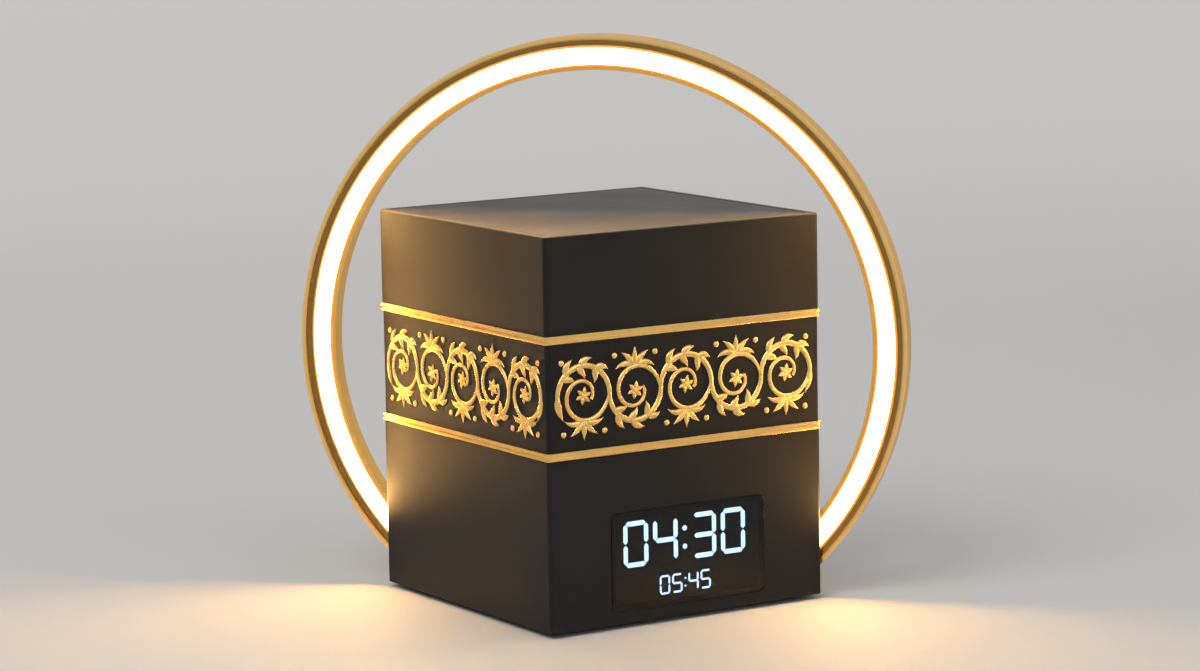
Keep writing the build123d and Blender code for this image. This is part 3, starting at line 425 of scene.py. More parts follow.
@dataclass(frozen=True)
class RingFoil(GoldFoil):
    """The ring's gold, with a painted highlight on its outer edge and painted shade in the step by the
    diffuser.
    """

    step_shade: float = 0.3               # share of the colour that the step keeps under its painted shade
    smear: float = 0.35 * MM          # width over which the painted shade fades in
    step_shade_end: Pair = (1.4 * MM, 2.4 * MM)    # behind the channel's front, where the painted shade ends
    # colour of the painted highlight on the outer edge
    painted_edge_highlight: Colour = (1.0, 0.68, 0.28)
    rim: Pair = (1.1 * MM, 0.3 * MM)  # inside the outer edge, from where the painted highlight starts to where it is full
    rim_end: Pair = (0.2 * MM, 0.7 * MM)       # behind the channel's front, where that ends

    def mix(self) -> Recipe:
        """Makes the foil, then paints shade in the step and a highlight at the outer edge.

        Returns:
            The node tree.
        """
        recipe = super().mix()
        ring = RingLight()
        radius, behind = ring.across(recipe)
        # painted shade: the sunk step beside the diffuser is painted darker
        outer = recipe.span(radius, 1.0, 0.0, ring.step_outer - self.smear, ring.step_outer + self.smear)
        inner = recipe.span(radius, 0.0, 1.0, ring.step_inner - self.smear, ring.step_inner)
        front = recipe.span(behind, 1.0, 0.0, *(ring.front + depth for depth in self.step_shade_end))
        sunk = recipe.maths("MULTIPLY", recipe.maths("MULTIPLY", outer, inner), front)
        step_shaded = recipe.blend(sunk, recipe.painted(), shade(self.colour, self.step_shade))
        # painted highlight: the outer edge is painted paler
        rim = recipe.span(radius, 0.0, 1.0, *(ring.outer - inside for inside in self.rim))
        near = recipe.span(behind, 1.0, 0.0, *(ring.front + depth for depth in self.rim_end))
        recipe.set(Base_Color=recipe.blend(recipe.maths("MULTIPLY", rim, near), step_shaded, self.painted_edge_highlight))
        return recipe


@dataclass(frozen=True)
class MilkyGlow(Finish):
    """A lit milky diffuser: white in the middle and amber beside the channel's walls."""

    amber: Colour = (1.0, 0.40, 0.05)
    strength: float = 72.0
    edge_strength: float = 0.5
    fade: Pair = (0.66, 0.93)         # shares of half its width, from white to amber
    swell: float = 0.04               # how far the light swells over each LED
    grain: float = 1500.0             # in a metre

    def mix(self) -> Recipe:
        """Makes the fall of light across the diffuser and its faint rhythm along it.

        Returns:
            The node tree.
        """
        recipe = Recipe(self.name)
        ring = RingLight()
        radius, _ = ring.across(recipe)
        off = recipe.maths("ABSOLUTE", recipe.maths("SUBTRACT", radius, ring.middle))
        edge = recipe.span(off, 0.0, 1.0, *(ring.half_face * share for share in self.fade))
        rhythm = recipe.maths("SINE", recipe.maths("MULTIPLY", ring.turn(recipe), ring.led_rhythm))
        light = recipe.maths("MULTIPLY", recipe.span(edge, self.strength, self.edge_strength, 0.0, 0.6),
                             recipe.span(rhythm, 1 - self.swell, 1 + self.swell, -1.0, 1.0))
        grain = recipe.noise(self.grain)
        recipe.set(Base_Color=recipe.blend(edge, self.colour, shade(self.amber, 0.6)),
                   Roughness=recipe.span(grain, 0.38, 0.5),
                   Emission_Color=recipe.blend(edge, self.colour, self.amber), Emission_Strength=light,
                   Normal=recipe.bump(grain, 0.01 * MM))
        return recipe


@dataclass(frozen=True)
class SmokedPane(Finish):
    """A dark tinted acrylic pane with faint wipe marks."""

    wipes: Triple = (90.0, 90.0, 700.0)    # in a metre, each way
    depth: float = 0.0006 * MM        # of the wipe marks
    dust: float = 2400.0              # in a metre

    def mix(self) -> Recipe:
        """Makes the clear dark body and the marks on its face.

        Returns:
            The node tree.
        """
        recipe = Recipe(self.name)
        wiped = recipe.noise(1.0, detail=3.0, at=recipe.stretched(self.wipes))
        dust = recipe.span(recipe.noise(self.dust, detail=1.0), 0.0, 0.01)
        recipe.set(Base_Color=self.colour, Transmission_Weight=1.0, IOR=1.38, Specular_IOR_Level=0.1,
                   Roughness=recipe.maths("ADD", recipe.span(wiped, 0.005, 0.02), dust),
                   Normal=recipe.bump(wiped, self.depth))
        return recipe


@dataclass(frozen=True)
class Segment(Finish):
    """The cast body of a display segment or an LED, lit or dark."""

    strength: float = 0.0
    uneven: float = 500.0             # uneven places in a metre
    swell: float = 0.06               # how far the light changes between them

    def mix(self) -> Recipe:
        """Makes the body with its light, a little uneven along it.

        Returns:
            The node tree.
        """
        recipe = Recipe(self.name)
        uneven = recipe.noise(self.uneven)
        recipe.set(Base_Color=recipe.blend(uneven, shade(self.colour, 0.85), self.colour),
                   Roughness=recipe.span(uneven, 0.35, 0.5), Normal=recipe.bump(uneven, 0.01 * MM))
        if self.strength:
            low, high = self.strength * (1 - self.swell), self.strength * (1 + self.swell)
            recipe.set(Emission_Color=self.colour, Emission_Strength=recipe.span(uneven, low, high))
        return recipe


@dataclass(frozen=True)
class SolderMask(Finish):
    """A circuit board with tracks and lands under its coat."""

    lands: float = 330.0              # in a metre
    track: Pair = (0.04, 0.09)        # half a track's width, as a share of a land's, at its top and foot
    copper: float = 0.035 * MM        # its height

    def mix(self) -> Recipe:
        """Makes the tracks as a fine net of lines under a glossy coat.

        Returns:
            The node tree.
        """
        recipe = Recipe(self.name)
        cells = recipe.node("ShaderNodeTexVoronoi", feature="DISTANCE_TO_EDGE", distance="MANHATTAN",
                            Vector=recipe.place, Scale=self.lands, Randomness=0.75).outputs["Distance"]
        tracks = recipe.span(cells, 1.0, 0.0, *self.track)
        recipe.set(Base_Color=recipe.blend(tracks, self.colour, shade(self.colour, 1.9)),
                   Roughness=recipe.span(recipe.noise(800.0, detail=3.0), 0.2, 0.34),
                   Normal=recipe.bump(tracks, self.copper))
        return recipe


@dataclass(frozen=True)
class BareMetal(Finish):
    """Plated or rolled metal with turning marks and scratches."""

    roughness: float = 0.3
    marks: float = 0.012 * MM         # depth of the scratches
    scratches: Triple = (220.0, 2600.0, 900.0)    # in a metre, each way
    clouds: float = 160.0             # in a metre

    def mix(self) -> Recipe:
        """Makes the long scratches and the plating's cloudy colour.

        Returns:
            The node tree.
        """
        recipe = Recipe(self.name)
        scratched = recipe.noise(1.0, detail=3.0, at=recipe.stretched(self.scratches))
        cloud = recipe.span(recipe.noise(self.clouds, detail=3.0), 0.0, 1.0)
        recipe.set(Base_Color=recipe.blend(cloud, shade(self.colour, 0.82), self.colour), Metallic=1.0,
                   Roughness=recipe.span(scratched, self.roughness - 0.06, self.roughness + 0.12),
                   Normal=recipe.bump(scratched, self.marks))
        return recipe


@dataclass(frozen=True)
class SoftRubber(Finish):
    """Rubber, foam or pulp with fine pores and a pale bloom."""

    pores: float = 1100.0             # in a metre
    depth: float = 0.06 * MM          # of a pore
    bloom: float = 60.0               # patches in a metre

    def mix(self) -> Recipe:
        """Makes the pores and the bloom.

        Returns:
            The node tree.
        """
        recipe = Recipe(self.name)
        cells = recipe.node("ShaderNodeTexVoronoi", Vector=recipe.place, Scale=self.pores).outputs["Distance"]
        bloom = recipe.span(recipe.noise(self.bloom, detail=4.0), 0.0, 1.0)
        recipe.set(Base_Color=recipe.blend(bloom, self.colour, shade(self.colour, 2.2)),
                   Roughness=recipe.span(bloom, 0.72, 0.88), Sheen_Weight=0.15, Specular_IOR_Level=0.3,
                   Normal=recipe.bump(cells, self.depth))
        return recipe


@dataclass(frozen=True)
class Ribbed(Finish):
    """Film or wound stuff with even lines across the piece, such as a ribbon's conductors."""

    lines: float = 800.0              # in a metre
    line_colour: Colour = (0.45, 0.45, 0.44)
    along: Triple = (1.0, 0.0, 0.0)   # way in which one line follows another
    grain: float = 1900.0             # in a metre

    def mix(self) -> Recipe:
        """Makes the lines and a fine grain over them.

        Returns:
            The node tree.
        """
        recipe = Recipe(self.name)
        across = recipe.node("ShaderNodeVectorMath", operation="DOT_PRODUCT", in0=recipe.place,
                             in1=self.along).outputs["Value"]
        wave = recipe.maths("SINE", recipe.maths("MULTIPLY", across, self.lines * 2 * math.pi))
        line = recipe.span(wave, 0.0, 1.0, 0.2, 0.8)
        recipe.set(Base_Color=recipe.blend(line, self.colour, self.line_colour),
                   Roughness=recipe.span(recipe.noise(self.grain), 0.36, 0.55),
                   Normal=recipe.bump(wave, 0.02 * MM))
        return recipe


@dataclass(frozen=True)
class PaleSweep(Finish):
    """The studio's floor and backdrop: matt paper that passes into the surroundings' tone far off."""

    far_tone: float = 0.88            # share of the paper's colour that the surroundings show
    near: float = 0.5                 # metres from the clock at which the paper begins to pass into it
    far: float = 1.7                  # metres at which it has
    fibre: float = 900.0              # in a metre

    def mix(self) -> Recipe:
        """Makes the paper's fibre and the even tone of its far part.

        Returns:
            The node tree.
        """
        recipe = Recipe(self.name)
        fibre = recipe.noise(self.fibre, detail=3.0)
        recipe.set(Base_Color=recipe.blend(fibre, shade(self.colour, 0.98), self.colour),
                   Roughness=recipe.span(fibre, 0.6, 0.75), Specular_IOR_Level=0.2,
                   Normal=recipe.bump(fibre, 0.03 * MM))
        away = recipe.node("ShaderNodeVectorMath", operation="LENGTH", in0=recipe.place).outputs["Value"]
        gone = recipe.node("ShaderNodeMapRange", interpolation_type="SMOOTHSTEP", in0=away, in1=self.near,
                           in2=self.far).outputs[0]
        even = recipe.node("ShaderNodeEmission", Color=(*self.colour, 1.0), Strength=self.far_tone)
        seen = recipe.maths("MULTIPLY", gone, looked_at(recipe.tree))
        both = recipe.node("ShaderNodeMixShader", in0=seen, in1=recipe.shader.outputs[0], in2=even.outputs[0])
        output = next(n for n in recipe.tree.nodes if n.type == "OUTPUT_MATERIAL")
        recipe.feed(output.inputs["Surface"], both.outputs[0])
        return recipe


SHELL = MouldedPlastic("satin_shell", (0.0105, 0.0102, 0.01), roughness=0.48, gloss=0.2)
# the upper shell and the top plate take painted light on their upper faces
PAINTED_LIGHT_SHELL = PaintedLitTopPlastic("handled_shell", SHELL.colour, roughness=SHELL.roughness, gloss=SHELL.gloss)
BAND_GROUND = MouldedPlastic("band_ground", (0.0105, 0.0102, 0.0098), roughness=0.52, gloss=0.18,
                             grain=0.8 * MM, depth=0.05 * MM)
# the keys take a stronger painted edge highlight
KEY_PLASTIC = MouldedPlastic("key_plastic", (0.02, 0.02, 0.021), roughness=0.4, gloss=0.35, painted_edge_highlight=1.2)
CHIP = MouldedPlastic("chip_body", (0.018, 0.018, 0.018), roughness=0.45, gloss=0.4, grain=0.2 * MM)
SCREEN = MouldedPlastic("screen_body", (0.004, 0.004, 0.005), roughness=0.6, gloss=0.1, depth=0.005 * MM)
CONNECTOR = MouldedPlastic("ivory_nylon", (0.72, 0.68, 0.58), roughness=0.45, gloss=0.4)
PLUNGER = MouldedPlastic("white_acetal", (0.75, 0.75, 0.72), roughness=0.4, gloss=0.4)
MARK = MouldedPlastic("key_mark", (0.55, 0.55, 0.56), roughness=0.5, gloss=0.35, grain=0.15 * MM)
LEAD = MouldedPlastic("lead_sheath", (0.42, 0.03, 0.02), roughness=0.42, gloss=0.4)
TRIM_GOLD = GoldFoil("trim_gold", (1.0, 0.64, 0.20), roughness=0.25, lines=0.0015 * MM, dents=0.002 * MM)
RELIEF_GOLD = GoldFoil("relief_gold", (1.0, 0.66, 0.22), roughness=0.26, flow=Flow.NONE, lines=0.01 * MM,
                       dents=0.02 * MM)
RING_GOLD = RingFoil("ring_gold", (1.0, 0.60, 0.17), roughness=0.22, flow=Flow.ROUND, dents=0.002 * MM)
DIFFUSER = MilkyGlow("milky_diffuser", (1.0, 0.56, 0.18))
PANE = SmokedPane("smoked_pane", (0.10, 0.105, 0.115))
LIT = Segment("segment_lit", (0.60, 0.81, 1.0), strength=13.0)
DARK = Segment("segment_dark", (0.045, 0.048, 0.052))
BOARD = SolderMask("solder_mask", (0.02, 0.11, 0.05))
STEEL = BareMetal("zinc_steel", (0.58, 0.58, 0.60))
NICKEL = BareMetal("bright_nickel", (0.74, 0.73, 0.70), roughness=0.2)
FERRITE = BareMetal("magnet_ferrite", (0.12, 0.12, 0.125), roughness=0.55, marks=0.03 * MM)
RUBBER = SoftRubber("pad_rubber", (0.014, 0.014, 0.014))
FOAM = SoftRubber("gasket_foam", (0.02, 0.02, 0.02), pores=2200.0, depth=0.12 * MM)
CONE_PAPER = SoftRubber("cone_pulp", (0.035, 0.035, 0.038), pores=1700.0, depth=0.04 * MM)
CELL_WRAP = Ribbed("cell_sleeve", (0.04, 0.14, 0.30), lines=45.0, line_colour=(0.03, 0.11, 0.25))
LED = Segment("led_phosphor", (1.0, 0.80, 0.42), strength=1.5)
RIBBON = Ribbed("film_ribbon", (0.80, 0.80, 0.78))
PAPER = PaleSweep("sweep_paper", (0.67, 0.66, 0.643))


# ---------------------------------------------------------------- making pieces
def paint(nodes: Iterable[str], finish: Finish) -> None:
    """Gives carried-over nodes a finish.

    Args:
        nodes: names of the nodes.
        finish: what they take.
    """
    for name in nodes:
        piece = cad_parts[name]
        if not piece.material_slots:
            piece.data.materials.append(None)
        for entry in piece.material_slots:
            entry.material = finish.material()
    LOG.info("%s on %s", finish.name, ", ".join(nodes))


def rectangle(left: float, right: float, low: float, high: float) -> list[Pair]:
    """Gives an upright rectangle's corners, anticlockwise."""
    return [(left, low), (right, low), (right, high), (left, high)]


def disc(middle: Vector, radius: float, sides: int) -> list[Pair]:
    """Gives the corners of a disc's edge, anticlockwise.

    Args:
        middle: its middle.
        radius: its radius.
        sides: how many corners it has.

    Returns:
        The corners.
    """
    turns = [math.tau * i / sides for i in range(sides)]
    return [(middle.x + radius * math.cos(turn), middle.y + radius * math.sin(turn)) for turn in turns]


class Surface:
    """Points and faces that grow into one piece."""

    def __init__(self) -> None:
        """Starts with nothing."""
        self.points: list[Vector] = []
        self.faces: list[tuple[int, ...]] = []

    def add(self, points: Iterable[Sequence[float]], faces: Iterable[Sequence[int]]) -> None:
        """Adds a shell.

        Args:
            points: its points.
            faces: its faces, which number the points from the shell's own first one.
        """
        start = len(self.points)
        self.points += [Vector(p) for p in points]
        self.faces += [tuple(start + i for i in face) for face in faces]

    def tube(self, rings: Sequence[Sequence[Sequence[float]]]) -> None:
        """Adds a closed tube, capped at both ends.

        Args:
            rings: the rings of points that it passes through, each of as many.
        """
        count = len(rings[0])
        faces = [(r * count + i, r * count + (i + 1) % count, (r + 1) * count + (i + 1) % count,
                  (r + 1) * count + i) for r in range(len(rings) - 1) for i in range(count)]
        last = (len(rings) - 1) * count
        faces += [tuple(reversed(range(count))), tuple(range(last, last + count))]
        self.add([p for ring in rings for p in ring], faces)

    def prism(self, outline: Sequence[Pair], low: float, high: float, chamfer: float = 0.0) -> None:
        """Adds a prism on an outline, with its upper edge chamfered.

        Args:
            outline: corners in order, anticlockwise.
            low: level of its base.
            high: level of its top.
            chamfer: width of the chamfer, taken towards the outline's middle.
        """
        mid = sum((Vector(p) for p in outline), Vector((0, 0))) / len(outline)
        inner = [Vector(p) + (mid - Vector(p)).normalized() * chamfer for p in outline]
        self.tube([[(x, y, low) for x, y in outline], [(x, y, high - chamfer) for x, y in outline],
                   [(p.x, p.y, high) for p in inner]])

    def piece(self, name: str, place: Matrix, finish: Finish, body: str | None, slot: str,
              smooth: float = 40.0) -> bpy.types.Object:
        """Makes the object, gives it a finish and lets it ride on a body.

        Args:
            name: the piece's name.
            place: matrix from the surface's own coordinates to the model.
            finish: what it takes.
            body: the body that it moves with, or None for a piece that rides on none.
            slot: not used.
            smooth: edges under this angle in degrees are shaded smooth.

        Returns:
            The new object, at the origin.
        """
        mesh = bpy.data.meshes.new(name)
        mesh.from_pydata([place @ p for p in self.points], [], self.faces)
        mesh.validate()
        made = bpy.data.objects.new(name, mesh)
        bpy.context.scene.collection.objects.link(made)
        mesh.materials.append(finish.material())
        mesh.shade_smooth()
        mesh.set_sharp_from_angle(angle=math.radians(smooth))
        if body:
            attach(made, body)
        LOG.info("%s: %d points on %s", name, len(self.points), body or "two bodies")
        return made


# ---------------------------------------------------------------- sub-assemblies
class SubAssembly:
    """A part of the clock, or the studio round it, that is built and then dressed."""

    def build(self) -> None:
        """Builds nothing, where the sub-assembly has only carried-over nodes."""

    def dress(self) -> None:
        """Dresses nothing, where the sub-assembly has no carried-over node."""


@dataclass
class Housing(SubAssembly):
    """The black shells, the base and the parts that hold them together."""

    def dress(self) -> None:
        """Gives the shells, trims, base and screws their finishes."""
        paint(("lower_housing", "base_plate"), SHELL)
        # the upper shell's upward faces take painted light
        paint(("upper_housing",), PAINTED_LIGHT_SHELL)
        paint(("band_sleeve",), BAND_GROUND)
        paint(("base_pad",), RUBBER)
        paint(("base_screws", "ring_screws", "housing_screws"), STEEL)
        paint(("lower_trim", "upper_trim"), TRIM_GOLD)


@dataclass
class TapPlate(SubAssembly):
    """The plate on top that is tapped to stop an alarm, with its switch and its four return springs."""

    coil: float = 3.3 * MM            # radius of a spring's middle line
    wire: float = 0.3 * MM            # radius of its wire
    pitch: float = 2.0 * MM
    dead: float = 0.62 * MM           # pitch of the closed turn at each end
    around: int = 24                  # steps in a turn
    sides: int = 10                   # round the wire

    def spring(self, surface: Surface, x: float, y: float, low: float, high: float) -> None:
        """Adds a compression spring with closed end turns.

        Args:
            surface: where it goes.
            x: its axis.
            y: its axis.
            low: level of the lowest turn's middle line.
            high: level of the highest turn's middle line.
        """
        turns = 2 + (high - low - 2 * self.dead) / self.pitch
        steps = round(turns * self.around)
        rings = []
        for i in range(steps + 1):
            turn = turns * i / steps
            climb = self.dead * min(turn, 1) + self.pitch * max(0, min(turn, turns - 1) - 1)
            level = low + climb + self.dead * max(0, turn - turns + 1)
            angle = math.tau * turn
            out = Vector((math.cos(angle), math.sin(angle), 0))
            at = Vector((x, y, level)) + out * self.coil
            rings.append([at + out * self.wire * math.cos(math.tau * k / self.sides)
                          + Vector((0, 0, self.wire * math.sin(math.tau * k / self.sides)))
                          for k in range(self.sides)])
        surface.tube(rings)

    def build(self) -> None:
        """Builds the springs in place of the plain ones, as one piece on no body."""
        low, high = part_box("plate_springs")
        reach = self.coil + self.wire
        surface = Surface()
        for x in (low.x + reach, high.x - reach):
            for y in (low.y + reach, high.y - reach):
                self.spring(surface, x, y, low.z + self.wire, high.z - self.wire)
        made = surface.piece("return_springs", Matrix.Identity(4), STEEL, None, "steel", 60.0)
        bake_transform(made)
        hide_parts("plate_springs")

    def dress(self) -> None:
        """Gives the plate and its switch their finishes."""
        # the top plate takes painted light on its upper face
        paint(("top_plate",), PAINTED_LIGHT_SHELL)
        paint(("plate_clips", "tap_board_screws"), STEEL)
        paint(("tap_board",), BOARD)
        paint(("tap_switch",), CHIP)
        paint(("tap_plunger",), PLUNGER)


@dataclass
class ReliefBand(SubAssembly):
    """A running scroll of stems, leaves and rosettes in gold relief on each side of the band."""

    middle: float = 73.15 * MM        # band's middle height
    face: float = 49.78 * MM          # ornament's ground, from the axis, just inside the sleeve's face
    crest: float = 0.5 * MM           # height of a full stroke
    pitch: float = 18.5 * MM          # from one scroll's centre to the next
    scrolls: int = 5
    stem: float = 0.95 * MM           # half the width of the main stem
    tendril: float = 0.74 * MM        # half the width of a scroll
    core: float = 2.9 * MM            # radius at which a scroll meets its rosette
    turns: float = 1.1                # that a scroll makes
    leaf: float = 1.1 * MM            # half the width of a leaf
    petals: int = 6
    heart: float = 0.85 * MM          # radius of a rosette's boss
    palmette: float = 6.9 * MM        # a palmette's root, from its scroll's centre
    berry: float = 0.95 * MM          # radius of a berry
    berry_across: float = 7.3 * MM    # a berry's place, from its scroll's centre
    berry_away: float = 11.2 * MM

    # a stroke's section and a boss's outline: across and up, as shares of half its width and of its height
    STROKE = ((-1.0, -0.12), (-1.0, 0.22), (-0.66, 0.74), (-0.26, 0.97), (0.26, 0.97), (0.66, 0.74),
              (1.0, 0.22), (1.0, -0.12))
    DOME = ((1.0, -0.1), (1.0, 0.25), (0.8, 0.7), (0.45, 0.94), (0.12, 1.0))
    # leaves inside the stem's arc by their place on it, and buds outside it by place and length
    LEAVES = (0.2, 0.42, 0.64)
    BUDS = ((0.26, 5.4 * MM), (0.46, 5.0 * MM), (0.66, 4.6 * MM))
    # a palmette's leaves by heading and bend in degrees, and length
    FAN = ((0, 0, 5.6 * MM), (30, 34, 6.2 * MM), (-30, -34, 6.2 * MM), (58, 74, 6.8 * MM),
           (-58, -74, 6.8 * MM))

    def stroke(self, surface: Surface, line: Sequence[Vector], widths: Sequence[float]) -> None:
        """Adds a rounded stroke along a line.

        Args:
            surface: where it goes.
            line: points of its middle line.
            widths: half its width at each point.
        """
        rings = []
        for i, (at, width) in enumerate(zip(line, widths)):
            ahead = (line[min(i + 1, len(line) - 1)] - line[max(i - 1, 0)]).normalized()
            side = Vector((ahead.y, -ahead.x))
            rise = self.crest * min(1.0, 0.35 + 0.65 * width / self.tendril)
            rings.append([(at.x + side.x * u * width, at.y + side.y * u * width, rise * v)
                          for u, v in self.STROKE])
        surface.tube(rings)

    def sprig(self, surface: Surface, root: Vector, heading: float, bend: float, length: float,
              width: float, neck: float = 0.12) -> None:
        """Adds a leaf that leaves its root at a heading and bends as it goes.

        Args:
            surface: where it goes.
            root: its first point.
            heading: direction at the root in degrees.
            bend: how far it turns by its tip, in degrees.
            length: along its middle line.
            width: half its width at the widest.
            neck: share of the leaf's outline that its root leaves out.
        """
        steps, tip = 12, 0.06 * MM
        line, at = [], root.copy()
        for i in range(steps + 1):
            line.append(at.copy())
            turn = math.radians(heading + bend * (i + 0.5) / steps)
            at += Vector((math.cos(turn), math.sin(turn))) * length / steps
        shares = [neck + (1 - neck) * i / steps for i in range(steps + 1)]
        self.stroke(surface, line, [max(tip, width * math.sin(math.pi * share ** 0.8)) for share in shares])

    def boss(self, surface: Surface, at: Vector, radius: float, rise: float) -> None:
        """Adds a round boss with a domed top.

        Args:
            surface: where it goes.
            at: its middle.
            radius: its radius.
            rise: its height.
        """
        sides = 18
        surface.tube([[(x, y, rise * level) for x, y in disc(at, radius * share, sides)]
                      for share, level in self.DOME])

    def rosette(self, surface: Surface, at: Vector) -> None:
        """Adds a flower of short petals round a boss.

        Args:
            surface: where it goes.
            at: its middle.
        """
        for i in range(self.petals):
            heading = 360 * i / self.petals + 15
            turn = math.radians(heading)
            root = at + Vector((math.cos(turn), math.sin(turn))) * 0.55 * MM
            self.sprig(surface, root, heading, bend=12, length=2.3 * MM, width=0.7 * MM, neck=0.06)
        self.boss(surface, at, self.heart, self.crest * 1.1)

    def scroll(self, surface: Surface, centre: Vector, up: int) -> None:
        """Adds one lobe: the stem over or under its centre, the scroll inside it and its leaves.

        Args:
            surface: where it goes.
            centre: the lobe's centre.
            up: 1 where the stem passes over the centre, -1 where it passes under.
        """
        radius = self.pitch / 2

        def at(turn: float, reach: float) -> Vector:
            """Gives the point at a turn from the lobe's left end and a distance from its centre."""
            return centre + Vector((-math.cos(turn), up * math.sin(turn))) * reach

        def ahead(turn: float) -> float:
            """Gives the stem's heading at a turn, in degrees."""
            return math.degrees(math.atan2(up * math.cos(turn), math.sin(turn)))

        # the stem, which is widest in the middle of its arc
        steps = 30
        arc = [math.pi * i / steps for i in range(steps + 1)]
        self.stroke(surface, [at(turn, radius) for turn in arc],
                    [self.stem * (0.82 + 0.18 * math.sin(turn)) for turn in arc])
        # the scroll, which leaves the stem thin, widens at once and thins again towards its heart
        steps, start = 56, math.pi * 0.93
        sweep = math.tau * self.turns
        coil, widths = [], []
        for i in range(steps + 1):
            reach = radius - (radius - self.core) * (i / steps) ** 0.92
            coil.append(at(start + sweep * i / steps, reach))
            thin = (1.15 - 0.45 * i / steps) * min(1.0, 0.35 + 4 * i / steps)
            widths.append(max(0.3 * MM, self.tendril * thin))
        self.stroke(surface, coil, widths)
        self.rosette(surface, centre)
        for share in self.LEAVES:
            turn = math.pi * share
            self.sprig(surface, at(turn, radius - 0.3 * MM), ahead(turn) - up * 38, bend=-up * 55,
                       length=4.6 * MM, width=self.leaf)
        for share, length in self.BUDS:
            turn = math.pi * share
            self.sprig(surface, at(turn, radius + 0.2 * MM), ahead(turn) + up * 48, bend=-up * 62,
                       length=length, width=self.leaf)
        # the palmette stands on the far side, where the scroll turns back, between two berries
        for fan, bend, length in self.FAN:
            away = math.radians(-up * (90 + fan * 0.7))
            out = Vector((math.cos(away), math.sin(away))) * 0.9 * MM
            root = centre + Vector((0, -up * self.palmette)) + out
            self.sprig(surface, root, -up * (90 + fan), bend=-up * bend, length=length,
                       width=self.leaf * 0.85, neck=0.03)
        for side in (-1, 1):
            spot = centre + Vector((side * self.berry_across, -up * self.berry_away))
            self.boss(surface, spot, self.berry, self.crest)

    def ending(self, surface: Surface, side: int) -> None:
        """Adds the leaf and the berry that close the scroll at one end of the face.

        Args:
            surface: where they go.
            side: -1 for the left end, 1 for the right.
        """
        x = side * self.pitch * self.scrolls / 2
        self.sprig(surface, Vector((x, 0)), -90, bend=-side * 31.5, length=7.5 * MM, width=self.leaf * 1.1)
        self.boss(surface, Vector((x - side * 1.5 * MM, 10.6 * MM)), self.berry, self.crest)

    def build(self) -> None:
        """Builds the ornament once and puts a copy on each side."""
        surface = Surface()
        half = (self.scrolls - 1) / 2
        for number in range(self.scrolls):
            self.scroll(surface, Vector(((number - half) * self.pitch, 0)), -1 if number % 2 else 1)
        self.ending(surface, -1)
        self.ending(surface, 1)
        for side in Side:
            place = side.place(self.face) @ Matrix.Translation((0, self.middle, 0))
            surface.piece(f"relief_{side.name.lower()}", place, RELIEF_GOLD, "housing", "gold_trim", 55.0)


